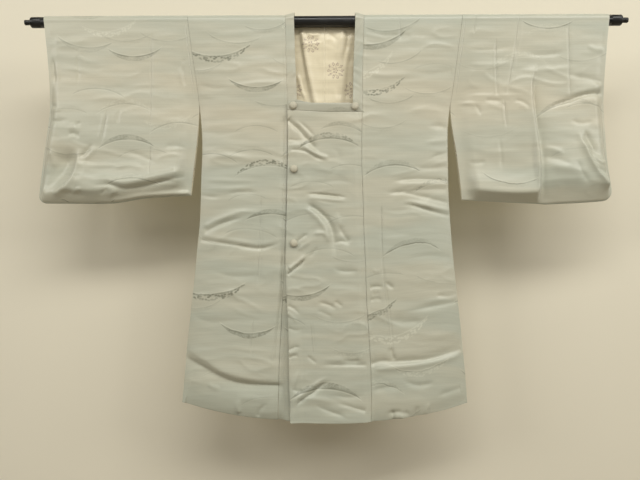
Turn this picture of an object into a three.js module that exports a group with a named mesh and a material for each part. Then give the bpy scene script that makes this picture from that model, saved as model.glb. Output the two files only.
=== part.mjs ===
// A square-necked kimono overcoat, hung flat over a round pole that runs through both sleeves.
// Millimetres. The origin is on the pole's axis, midway. +X is the wearer's left, -Y the front, +Z up.
// Each body side is one strip of cloth from the front hem over the pole to the back hem, each sleeve one
// loop over the pole, and the fronts cross on two long overlap panels under a narrow collar band.
import * as THREE from "three";

// ---- Driving dimensions ----
const CLOTH = 1.5; // wall of the coat: outer cloth with what backs it
const LINING = 1.0; // wall of the back lining
const BAND = 2.0; // wall of the folded collar band
const SEAM = 0.3; // space between pieces at a seam
const POLE_RADIUS = 12.7;
const POLE_HALF_LENGTH = 700;
const PEG_RADIUS = 6.2;
const PEG_LENGTH = 15;
const REST = 0.5; // space between the pole and the cloth on it
const HANG = POLE_RADIUS + REST + CLOTH / 2; // middle of the cloth on the pole
const BAND_HANG = POLE_RADIUS + REST + BAND / 2; // and of the collar band

const SHOULDER = 323; // half width at the sleeve seam, on the pole
const UNDERARM = { x: 297.5, z: -201 }; // where the sleeve seam ends
const HEM_FRONT = -947; // middle of the front hem
const HEM_RISE = 43; // the hem climbs this much towards the side seams
const HEM_HALF = 338;
const HEM_CURVE = 2.2;
const HEM_BACK = -910;
const HEM_BACK_RISE = 6;

const NECK_HALF_TOP = 72; // the collar's free edge, at the pole and at the front corners
const NECK_HALF_FRONT = 66;
const NECK_FRONT = -196; // top of the upper overlap panel's band
const BAND_WIDTH = 19;
const NECK_BACK = -8; // the back neckline, below the pole's axis
const COLLAR_BACK_TOP = 9; // the standing back collar's free edge in the middle
const COLLAR_BACK_CORNER = 17; // and beside the shoulders
const COLLAR_LIFT = 10; // the free edge stands off the pole at the shoulders
const UPPER_STEP = 2.6; // the upper overlap panel lies this far out from the lower one
const EDGE_STEP = 2.6; // and its free edge stands this much further out
const LOWER_FREE = 60; // the lower overlap panel's free edge, past the middle
const LOWER_SINK = 4; // it lies this much deeper than its front
const LOWER_LATE = 20;
const LOWER_CORNER_RISE = 9; // its top corner shows this much above the upper one
const LINING_TOP = NECK_BACK - 2.5;

const BUTTON_RADIUS = 9;
const BUTTON_HEIGHT = 6.5;
const BUTTON_SPACE = 0.3;
const BUTTONS = [
  { name: "corner_button_right", x: -74, z: -204.5 },
  { name: "corner_button_left", x: 71, z: -205.5 },
  { name: "upper_front_button", x: -72, z: -352 },
  { name: "lower_front_button", x: -72, z: -526 },
];

// Half outline of the body: side edge below the arm, the front seam where an overlap panel is sewn on,
// and the upper panel's free edge on the wearer's right.
const BODY = [
  { z: 18, side: 323, seam: 93, free: 88 },
  { z: -201, side: 297, seam: 88, free: 88 },
  { z: -275, side: 291.5, seam: 87.5, free: 87 },
  { z: -378, side: 292.5, seam: 88.5, free: 87.5 },
  { z: -475, side: 297, seam: 91, free: 89.5 },
  { z: -605, side: 309, seam: 96, free: 90.5 },
  { z: -765, side: 326, seam: 105, free: 84.5 },
  { z: -950, side: 342, seam: 110.5, free: 80.5 },
];

// Half depth of the hanging body and sleeves at each height: in the middle of a panel, at the arm and
// side seams, at a sleeve's inner edge, middle and cuff edge.
const DEPTH = [
  { z: 0, front: HANG, back: HANG, seam: HANG, inner: HANG, sleeve: HANG, cuff: HANG },
  { z: -60, front: 14.4, back: 14.2, seam: 12.2, inner: 12.2, sleeve: 13.8, cuff: 13.2 },
  { z: -130, front: 15.2, back: 14.6, seam: 7.6, inner: 7.6, sleeve: 13, cuff: 9.5 },
  { z: -201, front: 15.8, back: 15, seam: 1.5, inner: 1.5, sleeve: 12, cuff: 1.6 },
  { z: -280, front: 16.5, back: 15.4, seam: 1, inner: 5, sleeve: 10.6, cuff: 1.15 },
  { z: -430, front: 17.7, back: 16, seam: 1, inner: 6, sleeve: 6.4, cuff: 1.15 },
  { z: -700, front: 20.3, back: 17.3, seam: 1, inner: 6, sleeve: 6.4, cuff: 1.15 },
  { z: -945, front: 24, back: 19, seam: 1, inner: 6, sleeve: 6.4, cuff: 1.15 },
];
const SIDE_POWER = 6; // how squarely the flat panels turn in at the side seams

// The sleeves differ a little in how they hang: inner edge below the arm seam, cuff edge and bottom.
const SLEEVES = {
  left: {
    sign: 1,
    edges: [
      { z: 18, cuff: 668, inner: 323 },
      { z: -95, cuff: 658.5, inner: 310 },
      { z: -201, cuff: 657, inner: 297.5 },
      { z: -315, cuff: 664.5, inner: 311 },
      { z: -437, cuff: 682, inner: 326 },
    ],
    bottom: [
      { across: 0, z: -424.5 },
      { across: 0.5, z: -433 },
      { across: 0.56, z: -434.5 },
      { across: 1, z: -425 },
    ],
    corner: 26,
  },
  right: {
    sign: -1,
    edges: [
      { z: 18, cuff: 666, inner: 323 },
      { z: -95, cuff: 655.5, inner: 310 },
      { z: -201, cuff: 654, inner: 297.5 },
      { z: -315, cuff: 668, inner: 306 },
      { z: -437, cuff: 683.5, inner: 319 },
    ],
    bottom: [
      { across: 0, z: -413 },
      { across: 0.3, z: -420 },
      { across: 0.52, z: -431 },
      { across: 1, z: -431 },
    ],
    corner: 20,
  },
};
const INNER_TURN = 0.2; // share of a sleeve's width over which its edges close
const CUFF_TURN = 0.14;

// The largest folds, as ridges (+) or troughs (-) along a line from x0, z0 to x1, z1. The overlap's lie
// in the upper panel alone.
const OVERLAP_FOLDS = [
  { x0: -88, z0: -237, x1: -48, z1: -281, high: -2.5, wide: 12 },
  { x0: -40, z0: -305, x1: 12, z1: -327, high: 3, wide: 13 },
  { x0: -30, z0: -435, x1: 22, z1: -505, high: -3.5, wide: 15 },
  { x0: 22, z0: -505, x1: 26, z1: -565, high: -2.5, wide: 14 },
];
const FRONT_FOLDS = [
  { x0: -320, z0: -795, x1: -225, z1: -843, high: -4.5, wide: 17 },
  { x0: -225, z0: -843, x1: -100, z1: -857, high: -3.5, wide: 18 },
  { x0: -290, z0: -510, x1: -140, z1: -460, high: -2.5, wide: 14 },
  { x0: 120, z0: -805, x1: 325, z1: -783, high: -3, wide: 16 },
  { x0: 150, z0: -430, x1: 290, z1: -457, high: 2.5, wide: 15 },
];
const BACK_FOLDS = [
  { x0: -300, z0: -475, x1: -120, z1: -505, high: -3, wide: 16 },
  { x0: 60, z0: -335, x1: 270, z1: -365, high: 2.5, wide: 16 },
  { x0: 110, z0: -795, x1: 320, z1: -820, high: -3.5, wide: 18 },
  { x0: -310, z0: -825, x1: -140, z1: -805, high: -3, wide: 18 },
];
const SLEEVE_FOLDS = {
  left: {
    front: [
      { x0: 598, z0: -267, x1: 622, z1: -335, high: 4, wide: 13 },
      { x0: 622, z0: -335, x1: 662, z1: -397, high: 3, wide: 14 },
      { x0: 335, z0: -191, x1: 470, z1: -205, high: -2, wide: 13 },
    ],
    back: [{ x0: 380, z0: -305, x1: 560, z1: -325, high: -2.5, wide: 16 }],
  },
  right: {
    front: [
      { x0: -664, z0: -409, x1: -612, z1: -381, high: -3.5, wide: 13 },
      { x0: -612, z0: -381, x1: -590, z1: -305, high: -3, wide: 12 },
      { x0: -560, z0: -387, x1: -440, z1: -399, high: -3, wide: 13 },
      { x0: -440, z0: -399, x1: -330, z1: -373, high: -2.5, wide: 12 },
    ],
    back: [{ x0: -600, z0: -355, x1: -420, z1: -335, high: -2.5, wide: 16 }],
  },
};
// The pressed pleat of the left sleeve: the cloth rises towards this line and drops behind it.
const PLEAT = { x0: 497, z0: -97, x1: 501, z1: -435, high: 5.5, run: 70, drop: 5 };
// The lining bulges forward between two lines that close downwards inside the neck.
const LINING_BULGE = { high: 5, top: -35, bottom: -335, left: 62, right: 58, narrow: 0.45, turn: 22 };

const COLOURS = { cloth: 0xb9b8a2, lining: 0xe2d9bd, pole: 0x121210 };

// ---- Reading the tables ----
const mix = (a, b, t) => a + (b - a) * t;
const clamp = (t) => Math.min(1, Math.max(0, t));
const smooth = (t) => clamp(t) ** 2 * (3 - 2 * clamp(t));

// A smooth curve through one column of a table whose rows run along `key`, up or down.
function read(table, column, at, key = "z") {
  const last = table.length - 1;
  const way = Math.sign(table[last][key] - table[0][key]);
  if ((at - table[0][key]) * way <= 0) return table[0][column];
  if ((at - table[last][key]) * way >= 0) return table[last][column];
  let i = 0;
  while ((at - table[i + 1][key]) * way > 0) i++;
  const slope = (k) => {
    const a = table[Math.max(k - 1, 0)];
    const b = table[Math.min(k + 1, last)];
    return (b[column] - a[column]) / (b[key] - a[key]);
  };
  const [a, b] = [table[i], table[i + 1]];
  const h = b[key] - a[key];
  const t = (at - a[key]) / h;
  const keep = 2 * t ** 3 - 3 * t ** 2 + 1;
  const bend = (t ** 3 - 2 * t ** 2 + t) * h * slope(i) + (t ** 3 - t ** 2) * h * slope(i + 1);
  return a[column] * keep + b[column] * (1 - keep) + bend;
}

// Height of the folds in a table at a point: each is soft and fades past its ends, and where two meet the
// higher ridge or the deeper trough counts.
function foldHeight(folds, x, z) {
  let ridge = 0;
  let trough = 0;
  for (const f of folds) {
    const [dx, dz] = [f.x1 - f.x0, f.z1 - f.z0];
    const t = clamp(((x - f.x0) * dx + (z - f.z0) * dz) / (dx * dx + dz * dz));
    const away = Math.hypot(x - f.x0 - t * dx, z - f.z0 - t * dz) / f.wide;
    const height = f.high * Math.exp(-away * away);
    ridge = Math.max(ridge, height);
    trough = Math.min(trough, height);
  }
  return ridge + trough;
}

// Evenly spaced stations between two values, both included.
function stations(from, to, step) {
  const count = Math.max(1, Math.round(Math.abs(to - from) / step));
  return Array.from({ length: count + 1 }, (_, i) => mix(from, to, i / count));
}

// ---- Cloth walls ----
// A wall of even thickness round a grid of mid-surface points. keep(i, j) says which cells are cloth;
// a ring joins its last row to its first.
function clothWall({ columns, rows, at, wall, keep = () => true, ring = false }) {
  const count = columns * rows;
  const points = Array.from({ length: count }, (_, k) => at(k % columns, Math.floor(k / columns)));
  const id = (i, j) => (ring ? (j + rows) % rows : j) * columns + i;
  const isCell = (i, j) => {
    if (i < 0 || i >= columns - 1) return false;
    if (ring) return keep(i, (j + rows) % rows);
    return j >= 0 && j < rows - 1 && keep(i, j);
  };
  const used = (i, j) =>
    isCell(i, j) || isCell(i - 1, j) || isCell(i, j - 1) || isCell(i - 1, j - 1);
  const spanBetween = (i0, j0, i1, j1) => points[id(i1, j1)].clone().sub(points[id(i0, j0)]);
  const normalAt = (i, j) => {
    const left = i > 0 && used(i - 1, j) ? i - 1 : i;
    const right = i < columns - 1 && used(i + 1, j) ? i + 1 : i;
    const down = ring || (j > 0 && used(i, j - 1)) ? j - 1 : j;
    const up = ring || (j < rows - 1 && used(i, j + 1)) ? j + 1 : j;
    return spanBetween(left, j, right, j).cross(spanBetween(i, down, i, up)).normalize();
  };
  const positions = new Float32Array(count * 6);
  for (let j = 0; j < rows; j++) {
    for (let i = 0; i < columns; i++) {
      const k = id(i, j);
      const n = used(i, j) ? normalAt(i, j).multiplyScalar(wall / 2) : new THREE.Vector3();
      points[k].clone().add(n).toArray(positions, k * 3);
      points[k].clone().sub(n).toArray(positions, (k + count) * 3);
    }
  }
  const faces = [];
  const quad = (a, b, c, d) => faces.push(a, b, c, a, c, d);
  for (let j = 0; j < (ring ? rows : rows - 1); j++) {
    for (let i = 0; i < columns - 1; i++) {
      if (!isCell(i, j)) continue;
      const [a, b, c, d] = [id(i, j), id(i + 1, j), id(i + 1, j + 1), id(i, j + 1)];
      quad(a, b, c, d);
      quad(a + count, d + count, c + count, b + count);
      if (!isCell(i, j - 1)) quad(a, a + count, b + count, b);
      if (!isCell(i + 1, j)) quad(b, b + count, c + count, c);
      if (!isCell(i, j + 1)) quad(c, c + count, d + count, d);
      if (!isCell(i - 1, j)) quad(d, d + count, a + count, a);
    }
  }
  return facingOut(positions, faces);
}

// The same faces, turned round if they enclose a negative volume.
function facingOut(positions, faces) {
  const corner = (k) => new THREE.Vector3().fromArray(positions, faces[k] * 3);
  let volume = 0;
  for (let k = 0; k < faces.length; k += 3) {
    volume += corner(k).dot(corner(k + 1).cross(corner(k + 2)));
  }
  if (volume < 0) faces.reverse();
  const geometry = new THREE.BufferGeometry();
  geometry.setAttribute("position", new THREE.BufferAttribute(positions, 3));
  geometry.setIndex(faces);
  return geometry;
}

// ---- The hanging shape ----
const hemFront = (x) => HEM_FRONT + HEM_RISE * (Math.abs(x) / HEM_HALF) ** HEM_CURVE;
const hemBack = (x) => HEM_BACK + HEM_BACK_RISE * (Math.abs(x) / HEM_HALF) ** 2;
const armSeam = (z) => mix(SHOULDER, UNDERARM.x, clamp(z / UNDERARM.z));
const sideEdge = (z) => (z > UNDERARM.z ? armSeam(z) : read(BODY, "side", z)) - SEAM;
const frontSeam = (z) => read(BODY, "seam", z);
const freeEdge = (z) => -read(BODY, "free", z);

// Half depth of a body panel's middle surface: flat across, turned in at the side seams.
function bodyDepth(face, folds, x, z) {
  const middle = read(DEPTH, face, z);
  const edge = read(DEPTH, "seam", z);
  const flat = 1 - Math.min(1, Math.abs(x) / sideEdge(z)) ** SIDE_POWER;
  const fade = smooth(-z / 40) * flat ** 0.5;
  return edge + (middle - edge) * flat + foldHeight(folds, x, z) * fade;
}
const frontDepth = (x, z) => bodyDepth("front", FRONT_FOLDS, x, z);
const backDepth = (x, z) => bodyDepth("back", BACK_FOLDS, x, z);

// Half depth of the lower overlap panel and its band: level with its front at the seam, then sunk and
// plain behind the upper one. Near the neck it sinks later, so that its corner meets the collar.
function lowerDepth(x, z) {
  const late = LOWER_LATE * smooth((z - NECK_FRONT + 40) / 20);
  const sunk = smooth((x + frontSeam(z) - late) / 30);
  return mix(frontDepth(x, z), bodyDepth("front", [], x, z) - LOWER_SINK, sunk);
}

// How far the upper overlap panel lies out from the front's level: it leaves it at its seam.
function upperStep(x, z) {
  const seamSide = smooth((frontSeam(z) - SEAM - x) / 20);
  const freeSide = smooth((freeEdge(z) + 34 - x) / 34);
  return (UPPER_STEP + foldHeight(OVERLAP_FOLDS, x, z)) * seamSide + EDGE_STEP * freeSide;
}
const upperDepth = (x, z) => frontDepth(x, z) + upperStep(x, z);

// Rows that run from the front hem over the pole to the back hem, as places on the cloth.
const TOP_ANGLES = stations(0, 180, 22.5);
const frontRows = stations(1, 0, 1 / 25).slice(0, -1);
const overPole = TOP_ANGLES.map((angle) => ({ part: "top", angle }));
const backDrops = [0.0092, ...stations(1 / 20, 1, 1 / 20)]; // the first is the back neckline
const BODY_ROWS = [
  ...frontRows.map((share) => ({ part: "front", share })),
  ...overPole,
  ...backDrops.map((share) => ({ part: "back", share })),
];

// Height of a body row at x.
function rowHeight(row, x) {
  if (row.part === "top") return HANG * Math.sin(THREE.MathUtils.degToRad(row.angle));
  if (row.part === "front") return row.share * hemFront(x);
  return row.share < 0.01 ? NECK_BACK - SEAM : row.share * hemBack(x);
}

// A point of the body's cloth at x in one of those rows.
function bodyPoint(row, x) {
  const z = rowHeight(row, x);
  if (row.part === "front") return new THREE.Vector3(x, -frontDepth(x, z), z);
  if (row.part === "back") return new THREE.Vector3(x, backDepth(x, z), z);
  return new THREE.Vector3(x, -HANG * Math.cos(THREE.MathUtils.degToRad(row.angle)), z);
}

// The body's columns: the first ones lie between the centre back seam and the neck edge.
const NECK_COLUMNS = 4;
const WIDE_COLUMNS = 9;

// Distance of a body column from the middle, in one of the body rows.
function bodyColumn(i, row) {
  let x = HEM_HALF;
  for (let pass = 0; pass < 4; pass++) {
    const z = rowHeight(row, x);
    const edge = frontSeam(z) + SEAM;
    if (i <= NECK_COLUMNS) x = mix(SEAM / 2, edge, i / NECK_COLUMNS);
    else x = mix(edge, sideEdge(z), (i - NECK_COLUMNS) / WIDE_COLUMNS);
  }
  return x;
}

// One side of the body in one piece: front, over the pole, and back to the centre back seam.
function bodyPanel(sign) {
  const neckRow = BODY_ROWS.findIndex((row) => row.part === "back");
  return clothWall({
    columns: NECK_COLUMNS + WIDE_COLUMNS + 1,
    rows: BODY_ROWS.length,
    wall: CLOTH,
    at: (i, j) => bodyPoint(BODY_ROWS[j], sign * bodyColumn(i, BODY_ROWS[j])),
    keep: (i, j) => i >= NECK_COLUMNS || j >= neckRow,
  });
}

// A sleeve: a loop over the pole, closed along the bottom and open at both sides.
function sleeve(side) {
  const { sign, edges, bottom, corner } = SLEEVES[side];
  const folds = SLEEVE_FOLDS[side];
  const pleated = side === "left" ? [0.505, 0.53, 0.545, 0.56] : [0.52];
  const across = [...stations(0, 0.45, 0.09), ...pleated, 0.65, 0.76, 0.86, 0.91, 0.95, 0.98, 1];
  const drops = stations(0, 1, 1 / 13);
  const turns = stations(0, 180, 45).slice(1, -1);
  const innerEdge = (z) => (z > UNDERARM.z ? armSeam(z) : read(edges, "inner", z)) + SEAM / 2;
  const cuffEdge = (z) => read(edges, "cuff", z);
  const bottomOf = (share) => {
    const width = cuffEdge(-430) - innerEdge(-430);
    const into = clamp((share - 1) * (width / corner) + 1);
    return read(bottom, "z", share, "across") + corner * (1 - Math.sqrt(1 - into * into));
  };
  const place = (share, z) => mix(innerEdge(z), cuffEdge(z), share);
  const depthOf = (face, share, z) => {
    const x = sign * place(share, z);
    const inner = 1 - smooth(share / INNER_TURN);
    const cuff = smooth((share - 1 + CUFF_TURN) / CUFF_TURN);
    const middle = 1 - inner - cuff;
    const plain =
      inner * read(DEPTH, "inner", z) + cuff * read(DEPTH, "cuff", z) + middle * read(DEPTH, "sleeve", z);
    const fade = smooth(-z / 40) * smooth(middle * 1.6);
    const pleat = side === "left" && face === "front" ? pleatHeight(x, z) : 0;
    return plain + (foldHeight(folds[face], x, z) + pleat) * fade;
  };
  const rows = [
    ...TOP_ANGLES.map((angle) => ({ part: "top", angle })),
    ...drops.slice(1, -1).map((share) => ({ part: "back", share })),
    ...turns.map((angle) => ({ part: "bottom", angle })),
    ...drops.slice(1, -1).reverse().map((share) => ({ part: "front", share })),
  ];
  const at = (i, j) => {
    const row = rows[j];
    const turn = THREE.MathUtils.degToRad(row.angle ?? 0);
    if (row.part === "top") {
      const z = HANG * Math.sin(turn);
      return new THREE.Vector3(sign * place(across[i], z), -HANG * Math.cos(turn), z);
    }
    const low = bottomOf(across[i]);
    if (row.part === "bottom") {
      const radius = depthOf("back", across[i], low);
      const z = low + radius * (1 - Math.sin(turn));
      const y = radius * Math.cos(turn);
      return new THREE.Vector3(sign * place(across[i], z), y, z);
    }
    const end = low + depthOf("back", across[i], low);
    const z = row.share * end;
    const y = depthOf(row.part, across[i], z) * (row.part === "front" ? -1 : 1);
    return new THREE.Vector3(sign * place(across[i], z), y, z);
  };
  return clothWall({ columns: across.length, rows: rows.length, wall: CLOTH, at, ring: true });
}

// The pleat's height: a slow rise to its line, then a sharp drop.
function pleatHeight(x, z) {
  const line = mix(PLEAT.x0, PLEAT.x1, clamp((z - PLEAT.z0) / (PLEAT.z1 - PLEAT.z0)));
  const begin = smooth((PLEAT.z0 - z) / 60);
  const before = line - x;
  if (before >= 0) return PLEAT.high * begin * clamp(1 - before / PLEAT.run) ** 1.5;
  return PLEAT.high * begin * clamp(1 + before / PLEAT.drop);
}

// Top edge of an overlap panel's band: the upper one sags a little, the lower one rises at its corner.
const upperTop = (x) => NECK_FRONT - 3 * smooth((x + 88) / 100);
const lowerTop = (x) => NECK_FRONT + LOWER_CORNER_RISE * (1 - smooth((x + 88) / 62));

const OVERLAP_COLUMNS = 8;

// An overlap panel below its band, from its free edge to the seam of its front.
function overlapPanel(isUpper) {
  const heights = stations(0, 1, 1 / 20);
  const at = (i, j) => {
    let x = 0;
    let z = mix(NECK_FRONT, HEM_FRONT, heights[j]);
    for (let pass = 0; pass < 4; pass++) {
      const seamX = (isUpper ? 1 : -1) * (frontSeam(z) - SEAM);
      x = mix(isUpper ? freeEdge(z) : LOWER_FREE, seamX, i / OVERLAP_COLUMNS);
      const top = (isUpper ? upperTop(x) : lowerTop(x)) - BAND_WIDTH - SEAM;
      z = mix(top, hemFront(x) + (isUpper ? 0 : 2), heights[j]);
    }
    return new THREE.Vector3(x, isUpper ? -upperDepth(x, z) : -lowerDepth(x, z), z);
  };
  return clothWall({ columns: OVERLAP_COLUMNS + 1, rows: heights.length, wall: CLOTH, at });
}

// The band along an overlap panel's top, mitred where the neck collar comes down to it.
function overlapBand(isUpper) {
  const top = isUpper ? upperTop : lowerTop;
  const sign = isUpper ? 1 : -1;
  const at = (i, j) => {
    const start = isUpper ? freeEdge(NECK_FRONT) : LOWER_FREE;
    const end = sign * (mix(NECK_HALF_FRONT, frontSeam(NECK_FRONT), j) - SEAM);
    const x = mix(start, end, i / OVERLAP_COLUMNS);
    const z = top(x) - j * BAND_WIDTH;
    return new THREE.Vector3(x, isUpper ? -upperDepth(x, z) : -lowerDepth(x, z), z);
  };
  return clothWall({ columns: OVERLAP_COLUMNS + 1, rows: 2, wall: BAND, at });
}

// The neck collar: a band up one front edge, over the pole, round the back and down the other front.
// Each station gives its free edge and its seam edge.
function neckCollar() {
  const half = (isUpper) => {
    const sign = isUpper ? 1 : -1;
    const top = isUpper ? upperTop : lowerTop;
    const strip = stations(0, 1, 1 / 7).map((up) => {
      const ends = [NECK_HALF_FRONT, frontSeam(NECK_FRONT)].map((x) => top(sign * x));
      const zFree = mix(ends[0] + SEAM, 0, up);
      const zSeam = mix(ends[1] - BAND_WIDTH + SEAM, 0, up);
      const xFree = sign * mix(NECK_HALF_FRONT, NECK_HALF_TOP, up);
      const xSeam = sign * (frontSeam(zSeam) - SEAM / 2);
      const step = (x, z) => (isUpper ? upperStep(x, z) * smooth((-150 - z) / 40) : 0);
      return {
        free: new THREE.Vector3(xFree, -frontDepth(xFree, zFree) - step(xFree, zFree), zFree),
        seam: new THREE.Vector3(xSeam, -frontDepth(xSeam, zSeam) - step(xSeam, zSeam), zSeam),
      };
    });
    const over = TOP_ANGLES.slice(1).map((angle) => {
      const turn = THREE.MathUtils.degToRad(angle);
      const lift = BAND_HANG + COLLAR_LIFT * Math.sin(turn / 2);
      const rise = mix(0, COLLAR_BACK_CORNER, smooth((angle - 90) / 90));
      const xSeam = frontSeam(BAND_HANG * Math.sin(turn)) - SEAM / 2;
      return {
        free: new THREE.Vector3(
          sign * NECK_HALF_TOP,
          -lift * Math.cos(turn) * mix(1, 0.8, angle / 180),
          Math.max(lift * Math.sin(turn), rise),
        ),
        seam: new THREE.Vector3(sign * xSeam, -BAND_HANG * Math.cos(turn), BAND_HANG * Math.sin(turn)),
      };
    });
    return [...strip, ...over];
  };
  const corner = frontSeam(NECK_BACK) - SEAM / 2;
  const back = stations(-1, 1, 0.25).map((share) => {
    const rise = mix(COLLAR_BACK_TOP, COLLAR_BACK_CORNER - 2, share ** 4);
    const xFree = share * (NECK_HALF_TOP - 2);
    return {
      free: new THREE.Vector3(xFree, HANG + 2.5, rise),
      seam: new THREE.Vector3(share * corner, HANG + 0.2, NECK_BACK + SEAM),
    };
  });
  const path = [...half(false), ...back, ...half(true).reverse()];
  const at = (i, j) => path[j].free.clone().lerp(path[j].seam, i / 2);
  return clothWall({ columns: 3, rows: path.length, wall: BAND, at });
}

// One half of the back lining: the back panel's own points, moved in, and bulging forward at the neck.
function backLining(sign) {
  const inside = CLOTH / 2 + SEAM + LINING / 2;
  const rows = BODY_ROWS.filter((row) => row.part === "back").slice(1, -1);
  const at = (i, j) => {
    const row = rows[Math.max(j - 1, 0)];
    const x = sign * bodyColumn(i, row);
    const z = j === 0 ? LINING_TOP : rowHeight(row, x);
    return new THREE.Vector3(x, backDepth(x, z) - inside - liningBulge(x, z), z);
  };
  return clothWall({ columns: NECK_COLUMNS + WIDE_COLUMNS, rows: rows.length + 1, wall: LINING, at });
}

function liningBulge(x, z) {
  const { high, top, bottom, left, right, narrow, turn } = LINING_BULGE;
  const down = clamp((z - top) / (bottom - top));
  const half = (x > 0 ? left : right) * mix(1, narrow, down);
  const fade = smooth((LINING_TOP - z) / 30) * (1 - smooth((down - 0.6) / 0.4));
  return high * fade * smooth((half - Math.abs(x)) / turn + 0.5);
}

// ---- Hard pieces ----
function pole() {
  const chamfer = 3;
  const end = POLE_HALF_LENGTH;
  const profile = [
    [0, -end],
    [POLE_RADIUS - chamfer, -end],
    [POLE_RADIUS, -end + chamfer],
    [POLE_RADIUS, end - chamfer],
    [POLE_RADIUS - chamfer, end],
    [0, end],
  ];
  const points = profile.map(([r, along]) => new THREE.Vector2(r, along));
  return new THREE.LatheGeometry(points, 36).rotateZ(Math.PI / 2);
}

function peg(sign) {
  const middle = POLE_HALF_LENGTH + SEAM + PEG_LENGTH / 2;
  return new THREE.CylinderGeometry(PEG_RADIUS, PEG_RADIUS, PEG_LENGTH, 20)
    .rotateZ(Math.PI / 2)
    .translate(sign * middle, 0, 0);
}

// A domed, cloth-covered button that faces the front.
function button({ x, z }) {
  const rim = 1.2;
  const arc = stations(0, 90, 22.5).map((angle) => {
    const turn = THREE.MathUtils.degToRad(angle);
    const height = rim + (BUTTON_HEIGHT - rim) * Math.sin(turn);
    return new THREE.Vector2(BUTTON_RADIUS * Math.cos(turn), height);
  });
  arc[arc.length - 1].x = 0;
  const profile = [new THREE.Vector2(0, 0), new THREE.Vector2(BUTTON_RADIUS - rim, 0), ...arc];
  const wall = z > NECK_FRONT - BAND_WIDTH ? BAND : CLOTH;
  const reach = [-1, -0.5, 0, 0.5, 1].map((k) => {
    const near = x + k * BUTTON_RADIUS;
    return upperDepth(near, z);
  });
  const seat = Math.max(...reach) + wall / 2 + BUTTON_SPACE;
  return new THREE.LatheGeometry(profile, 20).rotateX(Math.PI).translate(x, -seat, z);
}

// ---- Assembly ----
const cloth = new THREE.MeshStandardMaterial({ color: COLOURS.cloth, roughness: 0.5, metalness: 0 });
const liningCloth = new THREE.MeshStandardMaterial({ color: COLOURS.lining, roughness: 0.4, metalness: 0 });
const blackPaint = new THREE.MeshStandardMaterial({ color: COLOURS.pole, roughness: 0.35, metalness: 0.3 });
for (const material of [cloth, liningCloth, blackPaint]) material.side = THREE.DoubleSide;

const coat = new THREE.Group();
function add(name, geometry, material = cloth) {
  const mesh = new THREE.Mesh(geometry, material);
  mesh.name = name;
  coat.add(mesh);
}

add("left_body", bodyPanel(1));
add("right_body", bodyPanel(-1));
add("left_sleeve", sleeve("left"));
add("right_sleeve", sleeve("right"));
add("upper_overlap_panel", overlapPanel(true));
add("lower_overlap_panel", overlapPanel(false));
add("neck_collar", neckCollar());
add("upper_overlap_band", overlapBand(true));
add("lower_overlap_band", overlapBand(false));
add("left_back_lining", backLining(1), liningCloth);
add("right_back_lining", backLining(-1), liningCloth);
for (const place of BUTTONS) add(place.name, button(place));
add("pole", pole(), blackPaint);
add("left_peg", peg(1), blackPaint);
add("right_peg", peg(-1), blackPaint);

export default coat;
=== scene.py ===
"""A square-necked kimono overcoat of figured silk, hung flat over a round pole.

Shapes are worked out in millimetres, in the frame of the solids: the origin is on the pole's axis,
midway, +X is the wearer's left, -Y the front and +Z up. Meshes are made in metres.
"""

import math
from collections import namedtuple

import bpy
import numpy as np
from bpy.props import BoolProperty, FloatProperty, FloatVectorProperty, PointerProperty
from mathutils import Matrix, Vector


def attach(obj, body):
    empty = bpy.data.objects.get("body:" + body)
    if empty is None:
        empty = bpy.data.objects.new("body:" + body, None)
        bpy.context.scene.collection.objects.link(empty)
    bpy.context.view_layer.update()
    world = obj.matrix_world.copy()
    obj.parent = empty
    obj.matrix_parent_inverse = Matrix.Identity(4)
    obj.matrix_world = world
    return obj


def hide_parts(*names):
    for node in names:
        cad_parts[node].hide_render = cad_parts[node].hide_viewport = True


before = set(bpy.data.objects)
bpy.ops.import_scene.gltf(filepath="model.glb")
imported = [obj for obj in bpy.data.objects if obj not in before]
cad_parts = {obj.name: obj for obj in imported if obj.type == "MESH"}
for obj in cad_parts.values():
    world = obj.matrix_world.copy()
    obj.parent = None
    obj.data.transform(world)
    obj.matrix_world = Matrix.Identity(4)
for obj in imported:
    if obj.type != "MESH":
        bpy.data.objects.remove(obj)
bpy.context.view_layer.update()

bl_info = {
    "name": "Kimono Overcoat",
    "version": (1, 0, 0),
    "blender": (4, 5, 0),
    "location": "View3D > Sidebar > Kimono",
    "description": "Makes a figured silk kimono overcoat on a round pole",
    "category": "Object",
}

MM = 0.001

# ---- Sizes, in millimetres ----
CLOTH = 1.5  # wall of the coat
LINING = 1.0
BAND = 2.0
SEAM = 0.3  # space between pieces at a seam
POLE_RADIUS = 12.7
POLE_HALF_LENGTH = 700
PEG_RADIUS = 6.2
PEG_LENGTH = 15
REST = 0.5
HANG = POLE_RADIUS + REST + CLOTH / 2  # middle of the cloth on the pole
BAND_HANG = POLE_RADIUS + REST + BAND / 2

SHOULDER = 323
UNDERARM_X, UNDERARM_Z = 297.5, -201
HEM_FRONT, HEM_RISE, HEM_HALF, HEM_CURVE = -947, 43, 338, 2.2
HEM_BACK, HEM_BACK_RISE = -910, 6
NECK_HALF_TOP, NECK_HALF_FRONT = 72, 66
NECK_FRONT, NECK_BACK = -196, -8
BAND_WIDTH = 19
COLLAR_BACK_TOP, COLLAR_BACK_CORNER, COLLAR_LIFT = 9, 17, 10
UPPER_STEP, EDGE_STEP = 2.6, 2.6
LOWER_FREE, LOWER_SINK, LOWER_LATE, LOWER_CORNER_RISE = 60, 4, 20, 9
LINING_TOP = NECK_BACK - 2.5
SIDE_POWER = 6  # how squarely the flat panels turn in at the side seams
INNER_TURN, CUFF_TURN = 0.2, 0.07  # shares of a sleeve's width over which its edges close

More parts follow.
